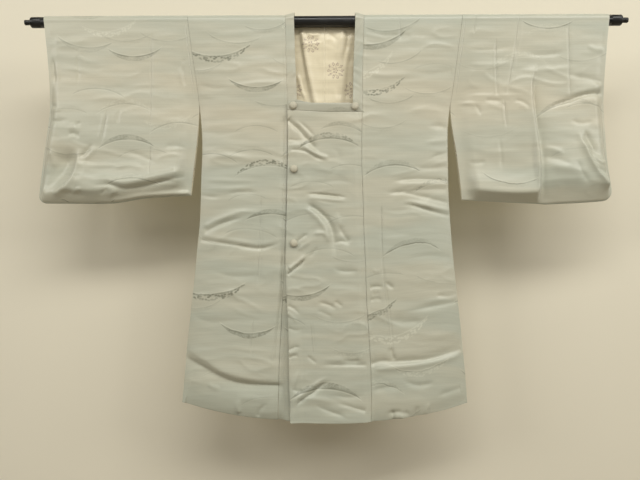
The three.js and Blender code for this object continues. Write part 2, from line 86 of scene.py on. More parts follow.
BUTTON_RADIUS, BUTTON_HEIGHT, BUTTON_RIM, BUTTON_SPACE = 9, 6.5, 1.2, 0.3
BUTTONS = {
    "corner_button_right": (-74, -204.5),
    "corner_button_left": (71, -205.5),
    "upper_front_button": (-72, -352),
    "lower_front_button": (-72, -526),
}


def rows(columns, *values):
    """A short table: the names of its columns, then its rows."""
    return [dict(zip(columns.split(), row)) for row in values]


BODY = rows(
    "z side seam free",
    (18, 323, 93, 88),
    (-201, 297, 88, 88),
    (-275, 291.5, 87.5, 87),
    (-378, 292.5, 88.5, 87.5),
    (-475, 297, 91, 89.5),
    (-605, 309, 96, 90.5),
    (-765, 326, 105, 84.5),
    (-950, 342, 110.5, 80.5),
)
DEPTH = rows(
    "z front back seam inner sleeve cuff",
    (0, HANG, HANG, HANG, HANG, HANG, HANG),
    (-60, 14.4, 14.2, 12.2, 12.2, 13.8, 13.2),
    (-130, 15.2, 14.6, 7.6, 7.6, 13, 9.5),
    (-201, 15.8, 15, 1.5, 1.5, 12, 1.6),
    (-280, 16.5, 15.4, 1, 5, 10.6, 1.15),
    (-430, 17.7, 16, 1, 6, 6.4, 1.15),
    (-700, 20.3, 17.3, 1, 6, 6.4, 1.15),
    (-945, 24, 19, 1, 6, 6.4, 1.15),
)
# Each sleeve's edges, its bottom line, the radius of its outer corner, the swell above its bottom fold, how
# far its front stands out, the lip along the fold and how high above it the front begins to turn under.
SLEEVES = {
    "left": {
        "sign": 1,
        "edges": rows(
            "z cuff inner",
            (18, 668, 323),
            (-95, 658.5, 310),
            (-201, 657, 297.5),
            (-315, 664.5, 311),
            (-437, 682, 326),
        ),
        "bottom": rows("across z", (0, -424.5), (0.5, -433), (0.56, -434.5), (1, -425)),
        "corner": 26,
        "belly": 15,
        "decay": 2.0,
        "full": 5,
        "lip": rows("across high", (0, 0), (1, 0)),
        "tuck": rows("across high", (0, 23), (0.48, 24), (0.54, 50), (0.8, 52), (1, 30)),
    },
    "right": {
        "sign": -1,
        "edges": rows(
            "z cuff inner",
            (18, 666, 323),
            (-95, 655.5, 310),
            (-201, 654, 297.5),
            (-315, 668, 306),
            (-437, 683.5, 319),
        ),
        "bottom": rows("across z", (0, -413), (0.3, -420), (0.52, -431), (1, -431)),
        "corner": 20,
        "belly": 13,
        "decay": 1.2,
        "full": 9,
        "lip": rows("across high", (0, 6), (0.25, 4.5), (0.5, 2), (0.62, 0.5), (1, 0)),
        "tuck": rows("across high", (0, 40), (0.2, 38), (0.4, 34), (0.62, 30), (0.85, 30), (1, 20)),
    },
}
BOTTOM_TURN = 3.2  # half thickness of a sleeve at its bottom fold
PLEAT = {"x0": 497, "z0": -97, "x1": 501, "z1": -435, "high": 6.5, "run": 85, "drop": 2.6}
LINING_BULGE = {"high": 5, "top": -35, "bottom": -335, "left": 62, "right": 58, "narrow": 0.45, "turn": 22}
# How the whole coat hangs unevenly: a shift of most mm along an axis, in swells that far across and down.
DRIFT = ((0, 1.3, 170, 105, 71), (1, 1.6, 230, 170, 72), (2, 1.0, 120, 190, 73))
FRONT_SEED, BACK_SEED, UPPER_SEED, LINING_SEED, COLLAR_SEED = 11, 23, 37, 81, 91
SLEEVE_SEEDS = {"front": 51, "back": 63}

# ---- Creases ----
CRISP, DEEP, SHARP = 0.66, 1.95, 1.45  # how narrow and how high creases are, and how pointed: 2 is round
ENDS = (0.3, 0.3)
Crease = namedtuple("Crease", "path high wide lean ends")


def creases(*tables):
    """Reads creases, one to a line: x,z points of the path | high wide lean and the fades at its two ends.

    A crease stands high mm out, or in where that is negative, and dies away over wide mm, later on its left
    side where lean is positive. The fades are shares of its length. Those left out are 0 and ENDS.
    """
    found = []
    for line in "".join(tables).split("\n"):
        if line.strip():
            path, shape = line.split("|")
            points = [[float(n) for n in point.split(",")] for point in path.split()]
            high, wide, *rest = (float(n) for n in shape.split())
            found.append(Crease(points, high, wide, rest[0] if rest else 0.0, rest[1:] or ENDS))
    return found


FRONT_CREASES = creases(
    # the wearer's right
    """
    -97,-222 -97,-378 -100,-560 -97,-760 -92,-935 | -2.4 15 0.4 0.04 0.02
    -101,-560 -101,-760 -98,-860 -96,-950 | -3.6 30 -0.6 0.5 0.02
    -336,-794 -288,-818 -234,-844 -178,-857 -88,-861 | -4.2 24 -0.95 0.05 0.1
    -332,-776 -282,-802 -236,-828 -170,-843 -100,-846 | 2.2 22 0.8 0.1 0.4
    -338,-918 -255,-939 -86,-964 | -10 52 0 0.02 0.02
    -200,-925 -203,-908 -196,-888 | 1.8 9 0.4 0.05 0.5
    -158,-934 -150,-915 -130,-902 | -1.5 8 0 0.05 0.5
    -278,-858 -262,-866 -244,-868 | 1.2 7
    -288,-502 -262,-490 -234,-478 -180,-462 | -2.6 9 0.5 0.1 0.5
    -292,-490 -236,-466 -190,-452 -130,-456 | 1.8 9 0 0.1 0.5
    -296,-519 -216,-530 -151,-539 -94,-523 | -2.1 5.5 0.5 0.02 0.3
    -296,-508 -216,-519 -151,-529 -94,-513 | 0.9 7 0 0.1 0.3
    -293,-413 -262,-417 -238,-417 | -1.5 5 0.4 0.02 0.6
    -234,-411 -196,-406 -152,-408 | -1.1 5 0.4
    -290,-396 -230,-398 -160,-394 | 0.9 8
    -288,-374 -220,-380 -150,-379 | 0.8 7
    -150,-425 -151,-560 -157,-640 | -0.8 3.6 0.6 0.04 0.3
    -166,-722 -170,-770 -173,-806 | -0.6 3.4 0.5 0.1 0.5
    -98,-530 -101,-629 -112,-730 -118,-850 | -1 4 0.4 0.1 0.3
    -106,-550 -109,-640 -120,-740 -126,-840 | 0.6 4.5 0 0.2 0.4
    -272,-590 -210,-604 -130,-596 | -0.8 10
    -306,-652 -240,-640 -170,-646 | 0.8 11 0 0.1 0.5
    -312,-700 -262,-712 -190,-704 | -0.8 11 0 0.1 0.5
    -288,-330 -226,-322 -150,-334 | 0.7 10
    -296,-262 -240,-268 -180,-262 | -0.8 9 0 0.05 0.5
    -300,-150 -260,-160 -205,-156 | -0.9 8 0.3 0.05 0.6
    -305,-122 -262,-118 -222,-124 | 0.8 9 0 0.05 0.6
    -220,-885 -160,-890 -110,-884 | 1 12
    """
    # the wearer's left
    """
    176,-424 220,-434 250,-440 298,-449 | 2.6 8 0 0.5 0.02
    176,-437 210,-438 250,-450 296,-461 | -2.2 6 -0.3 0.3 0.02
    140,-411 176,-407 216,-414 296,-432 | -1.7 7 0.3 0.2 0.05
    150,-383 210,-377 296,-378 | -1.8 6 0.4 0.3 0.02
    160,-392 225,-387 296,-386 | 1.8 9 0 0.4 0.02
    196,-346 240,-350 292,-346 | -1.3 9 0 0.3 0.05
    106,-811 134,-803 159,-804 219,-801 249,-797 324,-777 | -2.6 9 0.6 0.02 0.02
    222,-782 270,-782 324,-766 | -1.5 16 0 0.5 0.02
    112,-822 170,-815 250,-806 320,-790 | 1.7 9 0 0.1 0.05
    155,-768 158,-786 166,-800 | -2.2 9 -0.3 0.3 0.2
    312,-664 270,-672 222,-681 175,-690 | -1.7 9 -0.4 0.02 0.5
    312,-650 262,-660 214,-668 | 1.1 10 0 0.02 0.5
    298,-256 272,-250 240,-252 | -2.6 12 0 0.02 0.6
    294,-282 262,-286 228,-292 | 1.5 10 0 0.02 0.6
    292,-312 268,-318 240,-330 | -1.8 8 0.3 0.02 0.6
    292,-330 266,-338 244,-348 | 1.2 8 0 0.02 0.6
    292,-398 220,-402 142,-408 | -1 7 0 0.05 0.5
    134,-440 135,-566 140,-608 156,-716 160,-815 | -0.8 3.6 -0.6 0.03 0.25
    115,-512 150,-516 205,-510 | 0.7 9
    112,-585 118,-592 131,-590 | 0.8 5
    110,-640 118,-646 130,-640 | -0.8 5
    300,-560 240,-556 180,-566 | -0.9 12 0 0.1 0.5
    318,-736 250,-742 190,-734 | 0.9 13 0 0.1 0.5
    104,-948 200,-936 342,-902 | -4.4 28 0 0.05 0.02
    140,-925 170,-921 204,-926 | -2 7 0.3
    150,-934 176,-932 200,-936 | 1.8 6
    163,-944 161,-926 157,-914 | -2.2 7 0.3 0.02 0.4
    182,-942 180,-928 188,-912 | 1.6 8 0 0.02 0.4
    216,-934 214,-920 222,-906 | -1.6 8 0 0.02 0.4
    238,-928 240,-912 246,-898 | 1.5 7 0 0.02 0.4
    108,-872 150,-862 180,-870 | -1.2 9
    178,-846 222,-859 262,-850 | -1.6 10 0.3
    262,-884 290,-876 322,-868 | -1.7 10 0 0.4 0.05
    150,-706 190,-712 232,-708 | -1.6 15 0.3
    260,-648 290,-652 312,-646 | -1.7 8 0.3 0.3 0.05
    142,-618 152,-626 162,-634 | -2 6 0.3
    106,-632 118,-628 140,-630 | -1.8 5 0.3 0.05 0.4
    108,-660 122,-656 138,-660 | -1.2 5 0 0.05 0.4
    96,-128 150,-133 210,-128 | 0.8 9
    302,-120 250,-128 190,-122 | -0.8 9 0 0.05 0.5
    190,-215 250,-212 290,-218 | 0.8 9
    176,-6 177,-30 178,-52 | -1.2 3.5 0.5
    """
)
# These lie in the upper overlap panel alone.
OVERLAP_CREASES = creases(
    """
    -88,-237 -60,-263 -39,-286 -12,-315 | -2.8 9 0.3 0.02 0.2
    -64,-239 -44,-256 -22,-279 | -1.3 5 0.3
    -78,-236 -52,-256 -31,-281 | 0.9 5
    -60,-291 -32,-310 -8,-322 13,-326 | 2.6 8.5 -0.4 0.5 0.2
    -83,-307 -48,-310 -18,-326 8,-336 | -1.8 6 0.3 0.1 0.3
    -86,-283 -64,-285 -48,-282 | -0.9 4 0 0.05 0.6
    -86,-298 -66,-296 -50,-300 | 0.8 4 0 0.05 0.6
    12,-300 34,-318 28,-352 4,-372 | -0.9 13
    -50,-410 -6,-411 60,-419 | -2.4 4.5 -0.5 0.3 0.35
    -46,-420 -4,-422 58,-428 | 1.3 6 0 0.3 0.35
    -44,-430 -3,-460 19,-495 26,-565 | -3.6 11 -0.3 0.15 0.35
    -46,-444 -16,-466 3,-494 9,-512 | 2.2 10 0 0.3 0.2
    -30,-506 -8,-502 6,-510 10,-528 | 1.9 8
    -72,-528 -55,-516 -38,-502 | -1.7 5 0.4
    -66,-546 -44,-528 -26,-520 | 1.1 7
    -88,-601 -65,-581 -42,-560 | -2.4 5 -0.3 0.05 0.3
    -84,-586 -62,-570 -44,-551 | 2 6.5 0 0.05 0.3
    -40,-560 -26,-548 -16,-532 | -1.1 5
    14,-583 42,-592 86,-590 | -1.6 9 0.4 0.4 0.4
    22,-660 32,-668 44,-676 | -1.6 6 0.3
    -18,-664 4,-668 30,-680 | -1.8 7
    -20,-684 2,-690 20,-700 | -1.2 7
    30,-480 44,-506 60,-528 | -2 9 0.3 0.3 0.2
    26,-452 34,-480 30,-506 | 1.2 9
    20,-528 40,-522 62,-530 | -1.7 7 0.3
    -88,-636 -70,-633 -40,-640 | 0.7 6 0 0.05 0.5
    -87,-672 -72,-680 -55,-696 | -1.5 6 0.3 0.02 0.5
    -87,-690 -74,-700 -62,-716 | 1.1 6 0 0.02 0.5
    -85,-724 -70,-730 -50,-728 | -0.9 5 0 0.02 0.5
    -84,-775 -68,-769 -52,-773 | -1.4 4.5 0.2 0.02 0.5
    -83,-793 -70,-789 -58,-792 | -1.3 4.5 0.2 0.02 0.5
    -84,-784 -70,-780 -58,-783 | 0.9 4 0 0.02 0.5
    -42,-788 -31,-798 -18,-809 | -1.5 4.5 0.3
    -18,-812 40,-812 101,-812 | -1.7 7 0.6 0.4 0.05
    34,-798 62,-802 88,-800 | -2 12 0.2 0.4 0.3
    -10,-797 44,-799 100,-792 | 0.8 9
    -32,-705 -29,-745 -25,-790 | -0.6 4 0.5 0.3 0.4
    -8,-640 40,-634 96,-642 | 0.7 12
    -60,-820 -66,-842 -76,-864 | 0.8 7
    22,-898 61,-909 98,-919 | -1.9 8 0.5 0.5 0.05
    -26,-904 7,-918 55,-934 | -1.8 8 0.4 0.4 0.3
    -70,-908 -53,-892 -29,-877 -8,-859 16,-846 | -2.6 5.5 -0.4 0.2 0.3
    -76,-900 -58,-883 -34,-867 -12,-849 10,-838 | 1.8 6
    -78,-866 -62,-872 -50,-868 | -1.6 6 0.3
    -70,-886 -20,-890 30,-897 | 1 9
    12,-880 52,-886 92,-884 | -0.9 7
    -40,-345 10,-357 70,-352 | 0.6 10
    -20,-385 30,-380 80,-388 | -0.7 9
    """
)
BACK_CREASES = creases(
    """
    -300,-475 -215,-488 -120,-505 | -3 14 0.3 0.05 0.3
    60,-335 160,-352 270,-365 | 2.5 14 0 0.3 0.05
    110,-795 210,-812 328,-822 | -3.5 16 -0.3 0.2 0.02
    -322,-830 -230,-812 -140,-805 | -3 16 0.3 0.02 0.2
    -290,-250 -230,-262 -150,-256 | -1.6 10 0.3 0.05 0.5
    292,-268 240,-280 178,-296 | -1.8 9 0 0.05 0.5
    150,-430 210,-446 292,-440 | -1.5 8 0.4 0.4 0.05
    40,-560 130,-572 230,-566 | 1.3 12
    -260,-590 -190,-604 -60,-598 | -1.4 12
    -300,-655 -240,-640 -170,-650 | 1.2 11 0 0.1 0.5
    308,-660 250,-672 160,-668 | -1.5 9 -0.3 0.05 0.5
    -60,-700 0,-716 70,-706 | 1 14
    -148,-300 -150,-440 -154,-560 | -0.8 3.8 0.5
    152,-480 156,-610 160,-740 | -0.8 3.8 -0.5
    -80,-160 0,-170 90,-162 | 0.9 14
    -200,-868 -100,-876 40,-868 | -1.6 15
    80,-130 170,-138 280,-128 | -0.9 12
    -240,-392 -160,-384 -70,-396 | 1.1 11
    """
)
SLEEVE_CREASES = {
    ("left", "front"): creases(
        """
        588,-262 606,-300 622,-335 644,-368 668,-396 | 4 10 -0.35 0.3 0.05
        500,-120 492,-180 497,-240 506,-330 507,-436 | -3.6 11 0.7 0.3 0.02
        503,-230 513,-320 512,-436 | -3.6 24 0.8 0.4 0.02
        520,-345 570,-352 620,-362 | 2.2 20
        604,-258 622,-296 634,-322 | -2.6 9
        664,-339 640,-334 620,-314 | 2.2 7 0 0.02 0.4
        662,-362 642,-356 632,-344 | -2.2 8 0 0.02 0.4
        585,-330 598,-362 618,-388 | -1.6 12
        510,-218 545,-202 581,-189 616,-178 660,-176 | -3 8 0.4 0.4 0.02
        560,-182 600,-170 660,-158 | 1.2 11 0 0.5 0.02
        580,-208 616,-194 662,-190 | 0.8 10 0 0.5 0.02
        296,-190 312,-188 326,-187 | -1.7 3.8 0.3 0.02 0.4
        296,-198 330,-197 372,-198 | 1.3 6 0 0.05 0.5
        372,-192 394,-191 418,-196 | -1.2 4.5 0.3
        380,-201 400,-205 420,-214 | 0.6 6
        352,-200 362,-212 366,-228 | -1.1 6
        440,-196 452,-192 470,-200 480,-213 | -1.3 4.5 0.3
        452,-206 466,-208 474,-220 | 0.5 5
        335,-178 400,-181 470,-178 | 0.9 8
        458,4 452,-40 445,-78 428,-178 | -1.5 3.4 0.6 0.1 0.1
        463,4 457,-40 450,-78 433,-178 | 0.7 4 0 0.1 0.2
        358,2 353,-16 350,-36 | -1.3 3.2 0.5
        402,-44 403,-110 405,-181 | -1.1 3.4 -0.6 0.2 0.05
        398,-50 399,-110 401,-178 | 0.7 3.6 0 0.3 0.05
        420,-196 424,-224 427,-262 | -1.5 3.6 -0.5 0.1 0.4
        416,-200 420,-226 423,-258 | 0.9 4 0 0.1 0.4
        410,-275 413,-312 416,-356 | -1 6 -0.3
        570,-6 572,-90 574,-188 | -0.7 3.8 0.5 0.1 0.1
        505,-300 530,-306 560,-319 | 1.4 9
        508,-322 540,-330 575,-345 | -1.2 12
        470,-82 510,-86 560,-80 | -1.1 9
        450,-118 500,-122 600,-114 | 1 12
        560,-130 610,-140 655,-150 | -1.4 10 0 0.4 0.05
        330,-70 370,-73 440,-68 | -0.8 9
        330,-106 380,-110 440,-104 | 0.8 9
        335,-334 352,-338 380,-334 | -1.1 8
        572,-238 600,-246 630,-240 | -1.2 8
        340,-306 400,-312 470,-306 | 0.8 12
        612,-60 630,-72 655,-74 | 1 9 0 0.4 0.05
        """
    ),
    ("left", "back"): creases(
        """
        380,-305 470,-314 560,-325 | -2.5 14
        340,-190 420,-202 500,-196 | -1.8 8 0.3
        560,-200 610,-188 660,-190 | -2 9 0.3 0.4 0.05
        600,-290 622,-330 650,-372 | 2.6 12
        420,-60 424,-140 432,-230 | -0.9 4 0.5
        500,-120 503,-240 498,-350 | -1 5 -0.4
        400,-380 470,-374 560,-384 | 1.4 12
        380,-110 450,-118 560,-108 | 1 13
        """
    ),
    ("right", "front"): creases(
        """
        -591,-296 -607,-332 -624,-366 -648,-392 -684,-412 | -8 38 -0.3 0.3 0.1
        -577,-300 -582,-338 -591,-368 -610,-394 -646,-415 | 4.6 12 0.5 0.3 0.15
        -556,-330 -566,-364 -590,-396 | 2.4 30
        -650,-300 -640,-330 -636,-352 | 1.6 12
        -606,-272 -592,-268 -574,-278 | -1.7 7 0.2
        -610,-258 -592,-254 -570,-262 | 0.6 8
        -590,-251 -582,-246 -574,-243 | -1.1 5
        -580,-327 -562,-312 -546,-292 | -2.2 7 0.3
        -568,-332 -552,-318 -536,-300 | 1.2 7
        -526,-294 -519,-250 -512,-210 | -1.4 3.8 -0.5
        -532,-290 -525,-250 -518,-212 | 0.7 4
        -487,-246 -485,-228 -482,-210 | -1 4 0.4
        -560,-384 -534,-389 -505,-388 -473,-396 -429,-392 -380,-380 -318,-366 | -3 8 -0.3 0.3 0.02
        -330,-392 -352,-396 -372,-400 | -1.6 6 0 0.05 0.5
        -650,-398 -600,-408 -560,-414 | -2.2 12
        -574,-371 -540,-376 -512,-375 -473,-383 -429,-377 -380,-366 -322,-352 | 2 9 0 0.3 0.1
        -598,-412 -582,-402 -566,-396 | 1.8 6
        -512,-420 -499,-408 -484,-403 | 2.6 7
        -528,-414 -520,-404 -504,-398 | -1.8 6
        -440,-412 -410,-402 -380,-399 | 1.2 7
        -400,-384 -370,-380 -340,-384 | -1.1 6
        -318,-396 -330,-392 -345,-394 | 1.6 5 0 0.05 0.5
        -644,-84 -642,-116 -638,-150 | -1.6 6 -0.3
        -636,-92 -633,-120 -630,-150 | 0.6 6
        -653,-196 -644,-200 -630,-202 | -2 4.5 0 0.02 0.5
        -653,-208 -640,-212 -616,-210 | 1.4 6 0 0.02 0.5
        -652,-232 -634,-238 -600,-236 | -1.2 7 0 0.02 0.5
        -342,-100 -332,-96 -316,-88 | -1.8 4.5 0.3 0.4 0.02
        -336,-104 -334,-128 -331,-158 | -1.5 4.5 0.3
        -343,-108 -341,-130 -338,-156 | 0.9 5
        -330,-176 -318,-170 -300,-168 | 1.3 7 0 0.4 0.02
        -328,-30 -331,-50 -334,-78 | 0.9 6
        -408,-20 -409,-120 -410,-300 | -0.6 3.8 0.5 0.1 0.3
        -409,-296 -410,-330 -411,-372 | -0.8 3.6 0.5 0.1 0.3
        -584,-60 -584,-110 -583,-160 | -0.6 4 0.5
        -560,-190 -500,-184 -440,-194 | 0.8 12
        -470,-310 -430,-322 -392,-340 | -1.2 8
        -500,-350 -460,-344 -420,-352 | 1.1 8
        -380,-300 -352,-296 -322,-302 | -1 8
        -400,-330 -364,-318 -330,-322 | 0.9 8
        -640,-46 -600,-52 -550,-46 | 0.9 10 0 0.1 0.4
        """
    ),
    ("right", "back"): creases(
        """
        -600,-355 -510,-342 -420,-335 | -2.5 14
        -648,-220 -600,-236 -540,-230 | -2.2 9 0.3 0.05 0.4
        -330,-150 -370,-172 -420,-176 | -1.5 8 0 0.05 0.4
        -610,-290 -590,-330 -560,-372 | 2.4 12
        -470,-60 -474,-160 -470,-260 | -0.9 4 0.5
        -560,-110 -480,-118 -380,-108 | 1 13
        -540,-392 -450,-384 -350,-376 | 1.5 10
        """
    ),
}
LINING_CREASES = creases(
    """
    -70,-14 -60,-70 -50,-130 -34,-215 | -3.4 11 0.5 0.02 0.1
    -56,-14 -46,-80 -34,-140 -16,-215 | 2.6 10 0 0.02 0.1
    -66,-120 -56,-160 -40,-212 | 1.8 6 0.3 0.2 0.1
    -60,-168 -50,-190 -44,-214 | -2.4 6 0.3 0.2 0.1
    58,-14 54,-50 46,-90 44,-130 | -2.2 9 -0.4 0.02 0.5
    72,-60 66,-110 64,-205 | -2 12 0 0.3 0.1
    44,-14 36,-60 34,-110 | 1.6 12 0 0.02 0.5
    -44,-24 -26,-30 -8,-26 | 2 7
    12,-20 20,-34 34,-44 | -1.2 7
    -20,-80 -14,-120 -16,-160 | -0.8 12
    20,-150 26,-180 24,-210 | 0.9 10
    -150,-260 -60,-276 60,-268 | 1.4 14
    -200,-520 -80,-500 80,-512 | -2 16
    -60,-700 60,-715 220,-700 | 1.8 16
    """
)


# ---- The hanging shape ----
def mix(a, b, t):
    return a + (b - a) * t


def clamp(t):
    return np.clip(t, 0.0, 1.0)


def smooth(t):
    t = clamp(t)
    return t * t * (3 - 2 * t)


def read(table, column, at, key="z"):
    """A smooth curve through one column of a table whose rows run along key, up or down."""
    keys = np.array([row[key] for row in table], float)
    values = np.array([row[column] for row in table], float)
    if keys[-1] < keys[0]:
        keys, values = keys[::-1], values[::-1]
    before = np.maximum(np.arange(len(keys)) - 1, 0)
    after = np.minimum(np.arange(len(keys)) + 1, len(keys) - 1)
    slopes = (values[after] - values[before]) / (keys[after] - keys[before])
    at = np.clip(np.asarray(at, float), keys[0], keys[-1])
    i = np.clip(np.searchsorted(keys, at, side="right") - 1, 0, len(keys) - 2)
    h = keys[i + 1] - keys[i]
    t = (at - keys[i]) / h
    keep = 2 * t**3 - 3 * t**2 + 1
    bend = (t**3 - 2 * t**2 + t) * h * slopes[i] + (t**3 - t**2) * h * slopes[i + 1]
    return values[i] * keep + values[i + 1] * (1 - keep) + bend


def rounded(path, steps=6):
    """Points of a smooth line through the points of a path."""
    points = np.array(path, float)
    if len(points) < 3:
        return points
    ends = np.vstack([2 * points[0] - points[1], points, 2 * points[-1] - points[-2]])
    line = []
    for a, b, c, d in zip(ends, ends[1:], ends[2:], ends[3:]):
        for t in np.arange(steps) / steps:
            curve = (2 * a - 5 * b + 4 * c - d) * t**2 + (3 * b - 3 * c + d - a) * t**3
            line.append(0.5 * (2 * b + (c - a) * t + curve))
    return np.vstack([line, points[-1]])


def crease_height(table, x, z):
    """Height of all the creases of a table at points of the cloth."""
    total = np.zeros(np.broadcast(x, z).shape)
    x, z = np.broadcast_arrays(x, z)
    for crease in table:
        line = rounded(crease.path)
        reach = 3 * crease.wide
        low, high = line.min(axis=0) - reach, line.max(axis=0) + reach
        near = (x > low[0]) & (x < high[0]) & (z > low[1]) & (z < high[1])
        if not near.any():
            continue
        px, pz = x[near], z[near]
        spans = np.diff(line, axis=0)
        lengths = np.hypot(*spans.T)
        starts = np.concatenate([[0], np.cumsum(lengths)])
        best, side, along = np.full(px.shape, np.inf), np.zeros(px.shape), np.zeros(px.shape)
        for (ax, az), (dx, dz), length, start in zip(line, spans, lengths, starts):
            t = clamp(((px - ax) * dx + (pz - az) * dz) / length**2)
            ox, oz = px - ax - t * dx, pz - az - t * dz
            far = np.hypot(ox, oz)
            closer = far < best
            best[closer] = far[closer]
            side[closer] = np.sign(dx * oz - dz * ox)[closer]
            along[closer] = (start + t * length)[closer]
        share = along / starts[-1]
        fade = smooth(share / crease.ends[0]) * smooth((1 - share) / crease.ends[1])
        wide = CRISP * crease.wide * (1 + 0.7 * crease.lean * side) * mix(0.6, 1, fade)
        total[near] += DEEP * crease.high * fade * np.exp(-((best / wide) ** SHARP))
    return total


def rumple(x, z, across, down, seed):
    """Smooth random heights, about -1 to 1, whose swells are that far apart."""
    turns = np.random.default_rng(seed).uniform(0, 2 * np.pi, (32, 32))
    gx, gz = x / across, z / down
    ix, iz = np.floor(gx).astype(int), np.floor(gz).astype(int)
    fx, fz = gx - ix, gz - iz
    sx, sz = (t**3 * (t * (t * 6 - 15) + 10) for t in (fx, fz))

    def corner(a, b):
        turn = turns[(ix + a) % 32, (iz + b) % 32]
        return np.cos(turn) * (fx - a) + np.sin(turn) * (fz - b)

    return 1.4 * mix(mix(corner(0, 0), corner(1, 0), sx), mix(corner(0, 1), corner(1, 1), sx), sz)


def silk_rumple(x, z, seed):
    """The unevenness of hung silk: broad swells, flat ripples along the weft and a few short soft creases."""
    strength = bpy.context.scene.coat_silk.rumple
    bent = z + 7 * rumple(x, z, 150, 90, seed + 1)
    swell = 0.9 * rumple(x, z, 190, 120, seed)
    ripple = 0.85 * rumple(x, bent, 105, 24, seed + 2) + 0.28 * rumple(x, bent, 52, 11, seed + 3)
    edge = clamp(1 - 2.8 * np.abs(rumple(x + 0.4 * bent, bent, 95, 38, seed + 4))) ** 2
    patches = smooth(1.6 * rumple(x, z, 130, 95, seed + 5))
    return 1.3 * strength * (swell + ripple + 1.3 * edge * patches)


def drift(points):
    """The whole coat hangs a little unevenly: the same small shift for all layers at a place."""
    x, z = points[..., 0].copy(), points[..., 2].copy()
    hang = smooth((-z - 25) / 70)
    for axis, most, across, down, seed in DRIFT:
        points[..., axis] += most * hang * rumple(x, z, across, down, seed)
    return points


def spaced(count, crowd=0.35):
    """Shares from 0 to 1, closer together at both ends."""
    t = np.linspace(0, 1, count)
    return t - crowd * np.sin(2 * np.pi * t) / (2 * np.pi)


def hem_front(x):
    return HEM_FRONT + HEM_RISE * (np.abs(x) / HEM_HALF) ** HEM_CURVE


def hem_back(x):
    return HEM_BACK + HEM_BACK_RISE * (np.abs(x) / HEM_HALF) ** 2


def arm_seam(z):
    return mix(SHOULDER, UNDERARM_X, clamp(z / UNDERARM_Z))


def side_edge(z):
    return np.where(z > UNDERARM_Z, arm_seam(z), read(BODY, "side", z)) - SEAM


def front_seam(z):
    return read(BODY, "seam", z)


def free_edge(z):
    return -read(BODY, "free", z)


def body_depth(face, uneven, x, z):
    """Half depth of a body panel: flat across, turned in at the side seams. uneven gives its creases."""
    middle = read(DEPTH, face, z)
    edge = read(DEPTH, "seam", z)
    flat = 1 - np.minimum(1, np.abs(x) / side_edge(z)) ** SIDE_POWER
    return edge + (middle - edge) * flat + uneven * smooth(-z / 40) * flat**0.5


def seam_roll(away):
    """A seam's soft edge: the cloth stands up a little beside the seam."""
    return 0.55 * np.exp(-(((away - 3.2) / 2.6) ** 2))


def front_depth(x, z):
    uneven = crease_height(FRONT_CREASES, x, z) + silk_rumple(x, z, FRONT_SEED)
    return body_depth("front", uneven, x, z) + seam_roll(np.abs(np.abs(x) - front_seam(z)))


def back_depth(x, z):
    uneven = crease_height(BACK_CREASES, x, z) + silk_rumple(x, z, BACK_SEED)
    return body_depth("back", uneven, x, z) + seam_roll(np.abs(x)) * smooth((NECK_BACK - z) / 10)


def lower_depth(x, z):
    """The lower overlap panel: level with its front at the seam, then sunk and plain."""
    late = LOWER_LATE * smooth((z - NECK_FRONT + 40) / 20)
    sunk = smooth((x + front_seam(z) - late) / 30)
    return mix(front_depth(x, z), body_depth("front", 0, x, z) - LOWER_SINK, sunk)


def upper_step(x, z):
    """How far the upper overlap panel lies out from the front's level."""
    seam_side = smooth((front_seam(z) - SEAM - x) / 20)
    free_side = smooth((free_edge(z) + 34 - x) / 34) * (1 + 1.7 * smooth((-z - 420) / 460))
    own = crease_height(OVERLAP_CREASES, x, z) + 0.35 * silk_rumple(x, z, UPPER_SEED)
    return (UPPER_STEP + own) * seam_side + EDGE_STEP * free_side


def top_edge(is_upper, x):
    """The top of an overlap panel's band."""
    if is_upper:
        return NECK_FRONT - 3 * smooth((x + 88) / 100)
    return NECK_FRONT + LOWER_CORNER_RISE * (1 - smooth((x + 88) / 62))


def overlap_depth(is_upper, x, z):
    return front_depth(x, z) + upper_step(x, z) if is_upper else lower_depth(x, z)


# ---- Cloth walls ----
EDGE_STEPS = 5  # faces round the edge of a wall
CORNER = 0.3  # radius of the corners of a wall's edge
BAKE_MARGIN, BAKE_STEP = 0.012, 0.0012
TINY = 1e-9
OPEN_SIDES = {  # the way out of a cell, in rows and columns, and the two corners on that side
    (0, -1): ((1, 0), (0, 0)),
    (0, 1): ((0, 1), (1, 1)),
    (-1, 0): ((0, 0), (0, 1)),
    (1, 0): ((1, 1), (1, 0)),
}


def unit(vectors):
    return vectors / np.maximum(np.linalg.norm(vectors, axis=-1, keepdims=True), TINY)


def normals_of(points, ring=False):
    """Unit normals of a grid of points."""
    if ring:
        down = (np.roll(points, -1, axis=0) - np.roll(points, 1, axis=0)) / 2
    else:
        down = np.gradient(points, axis=0)
    return unit(np.cross(np.gradient(points, axis=1), down))


def bake_places(i, j, columns, count, strips, inner=False):
    """Places in the bake map of the corners of cells: the outer side in strips, then the inner side."""
    wide = 1 / (strips + 0.6)
    if inner:
        cell, share, width = strips, j / count, 0.6 * wide
    else:
        cell = np.minimum((j[:, :1] * strips) // count, strips - 1)
        share, width = j * strips / count - cell, wide
    u = i / (columns - 1) * (width - 2 * BAKE_MARGIN) + cell * wide + BAKE_MARGIN
    v = share * (1 - 2 * BAKE_MARGIN) + BAKE_MARGIN
    return np.stack([u, v], axis=-1)


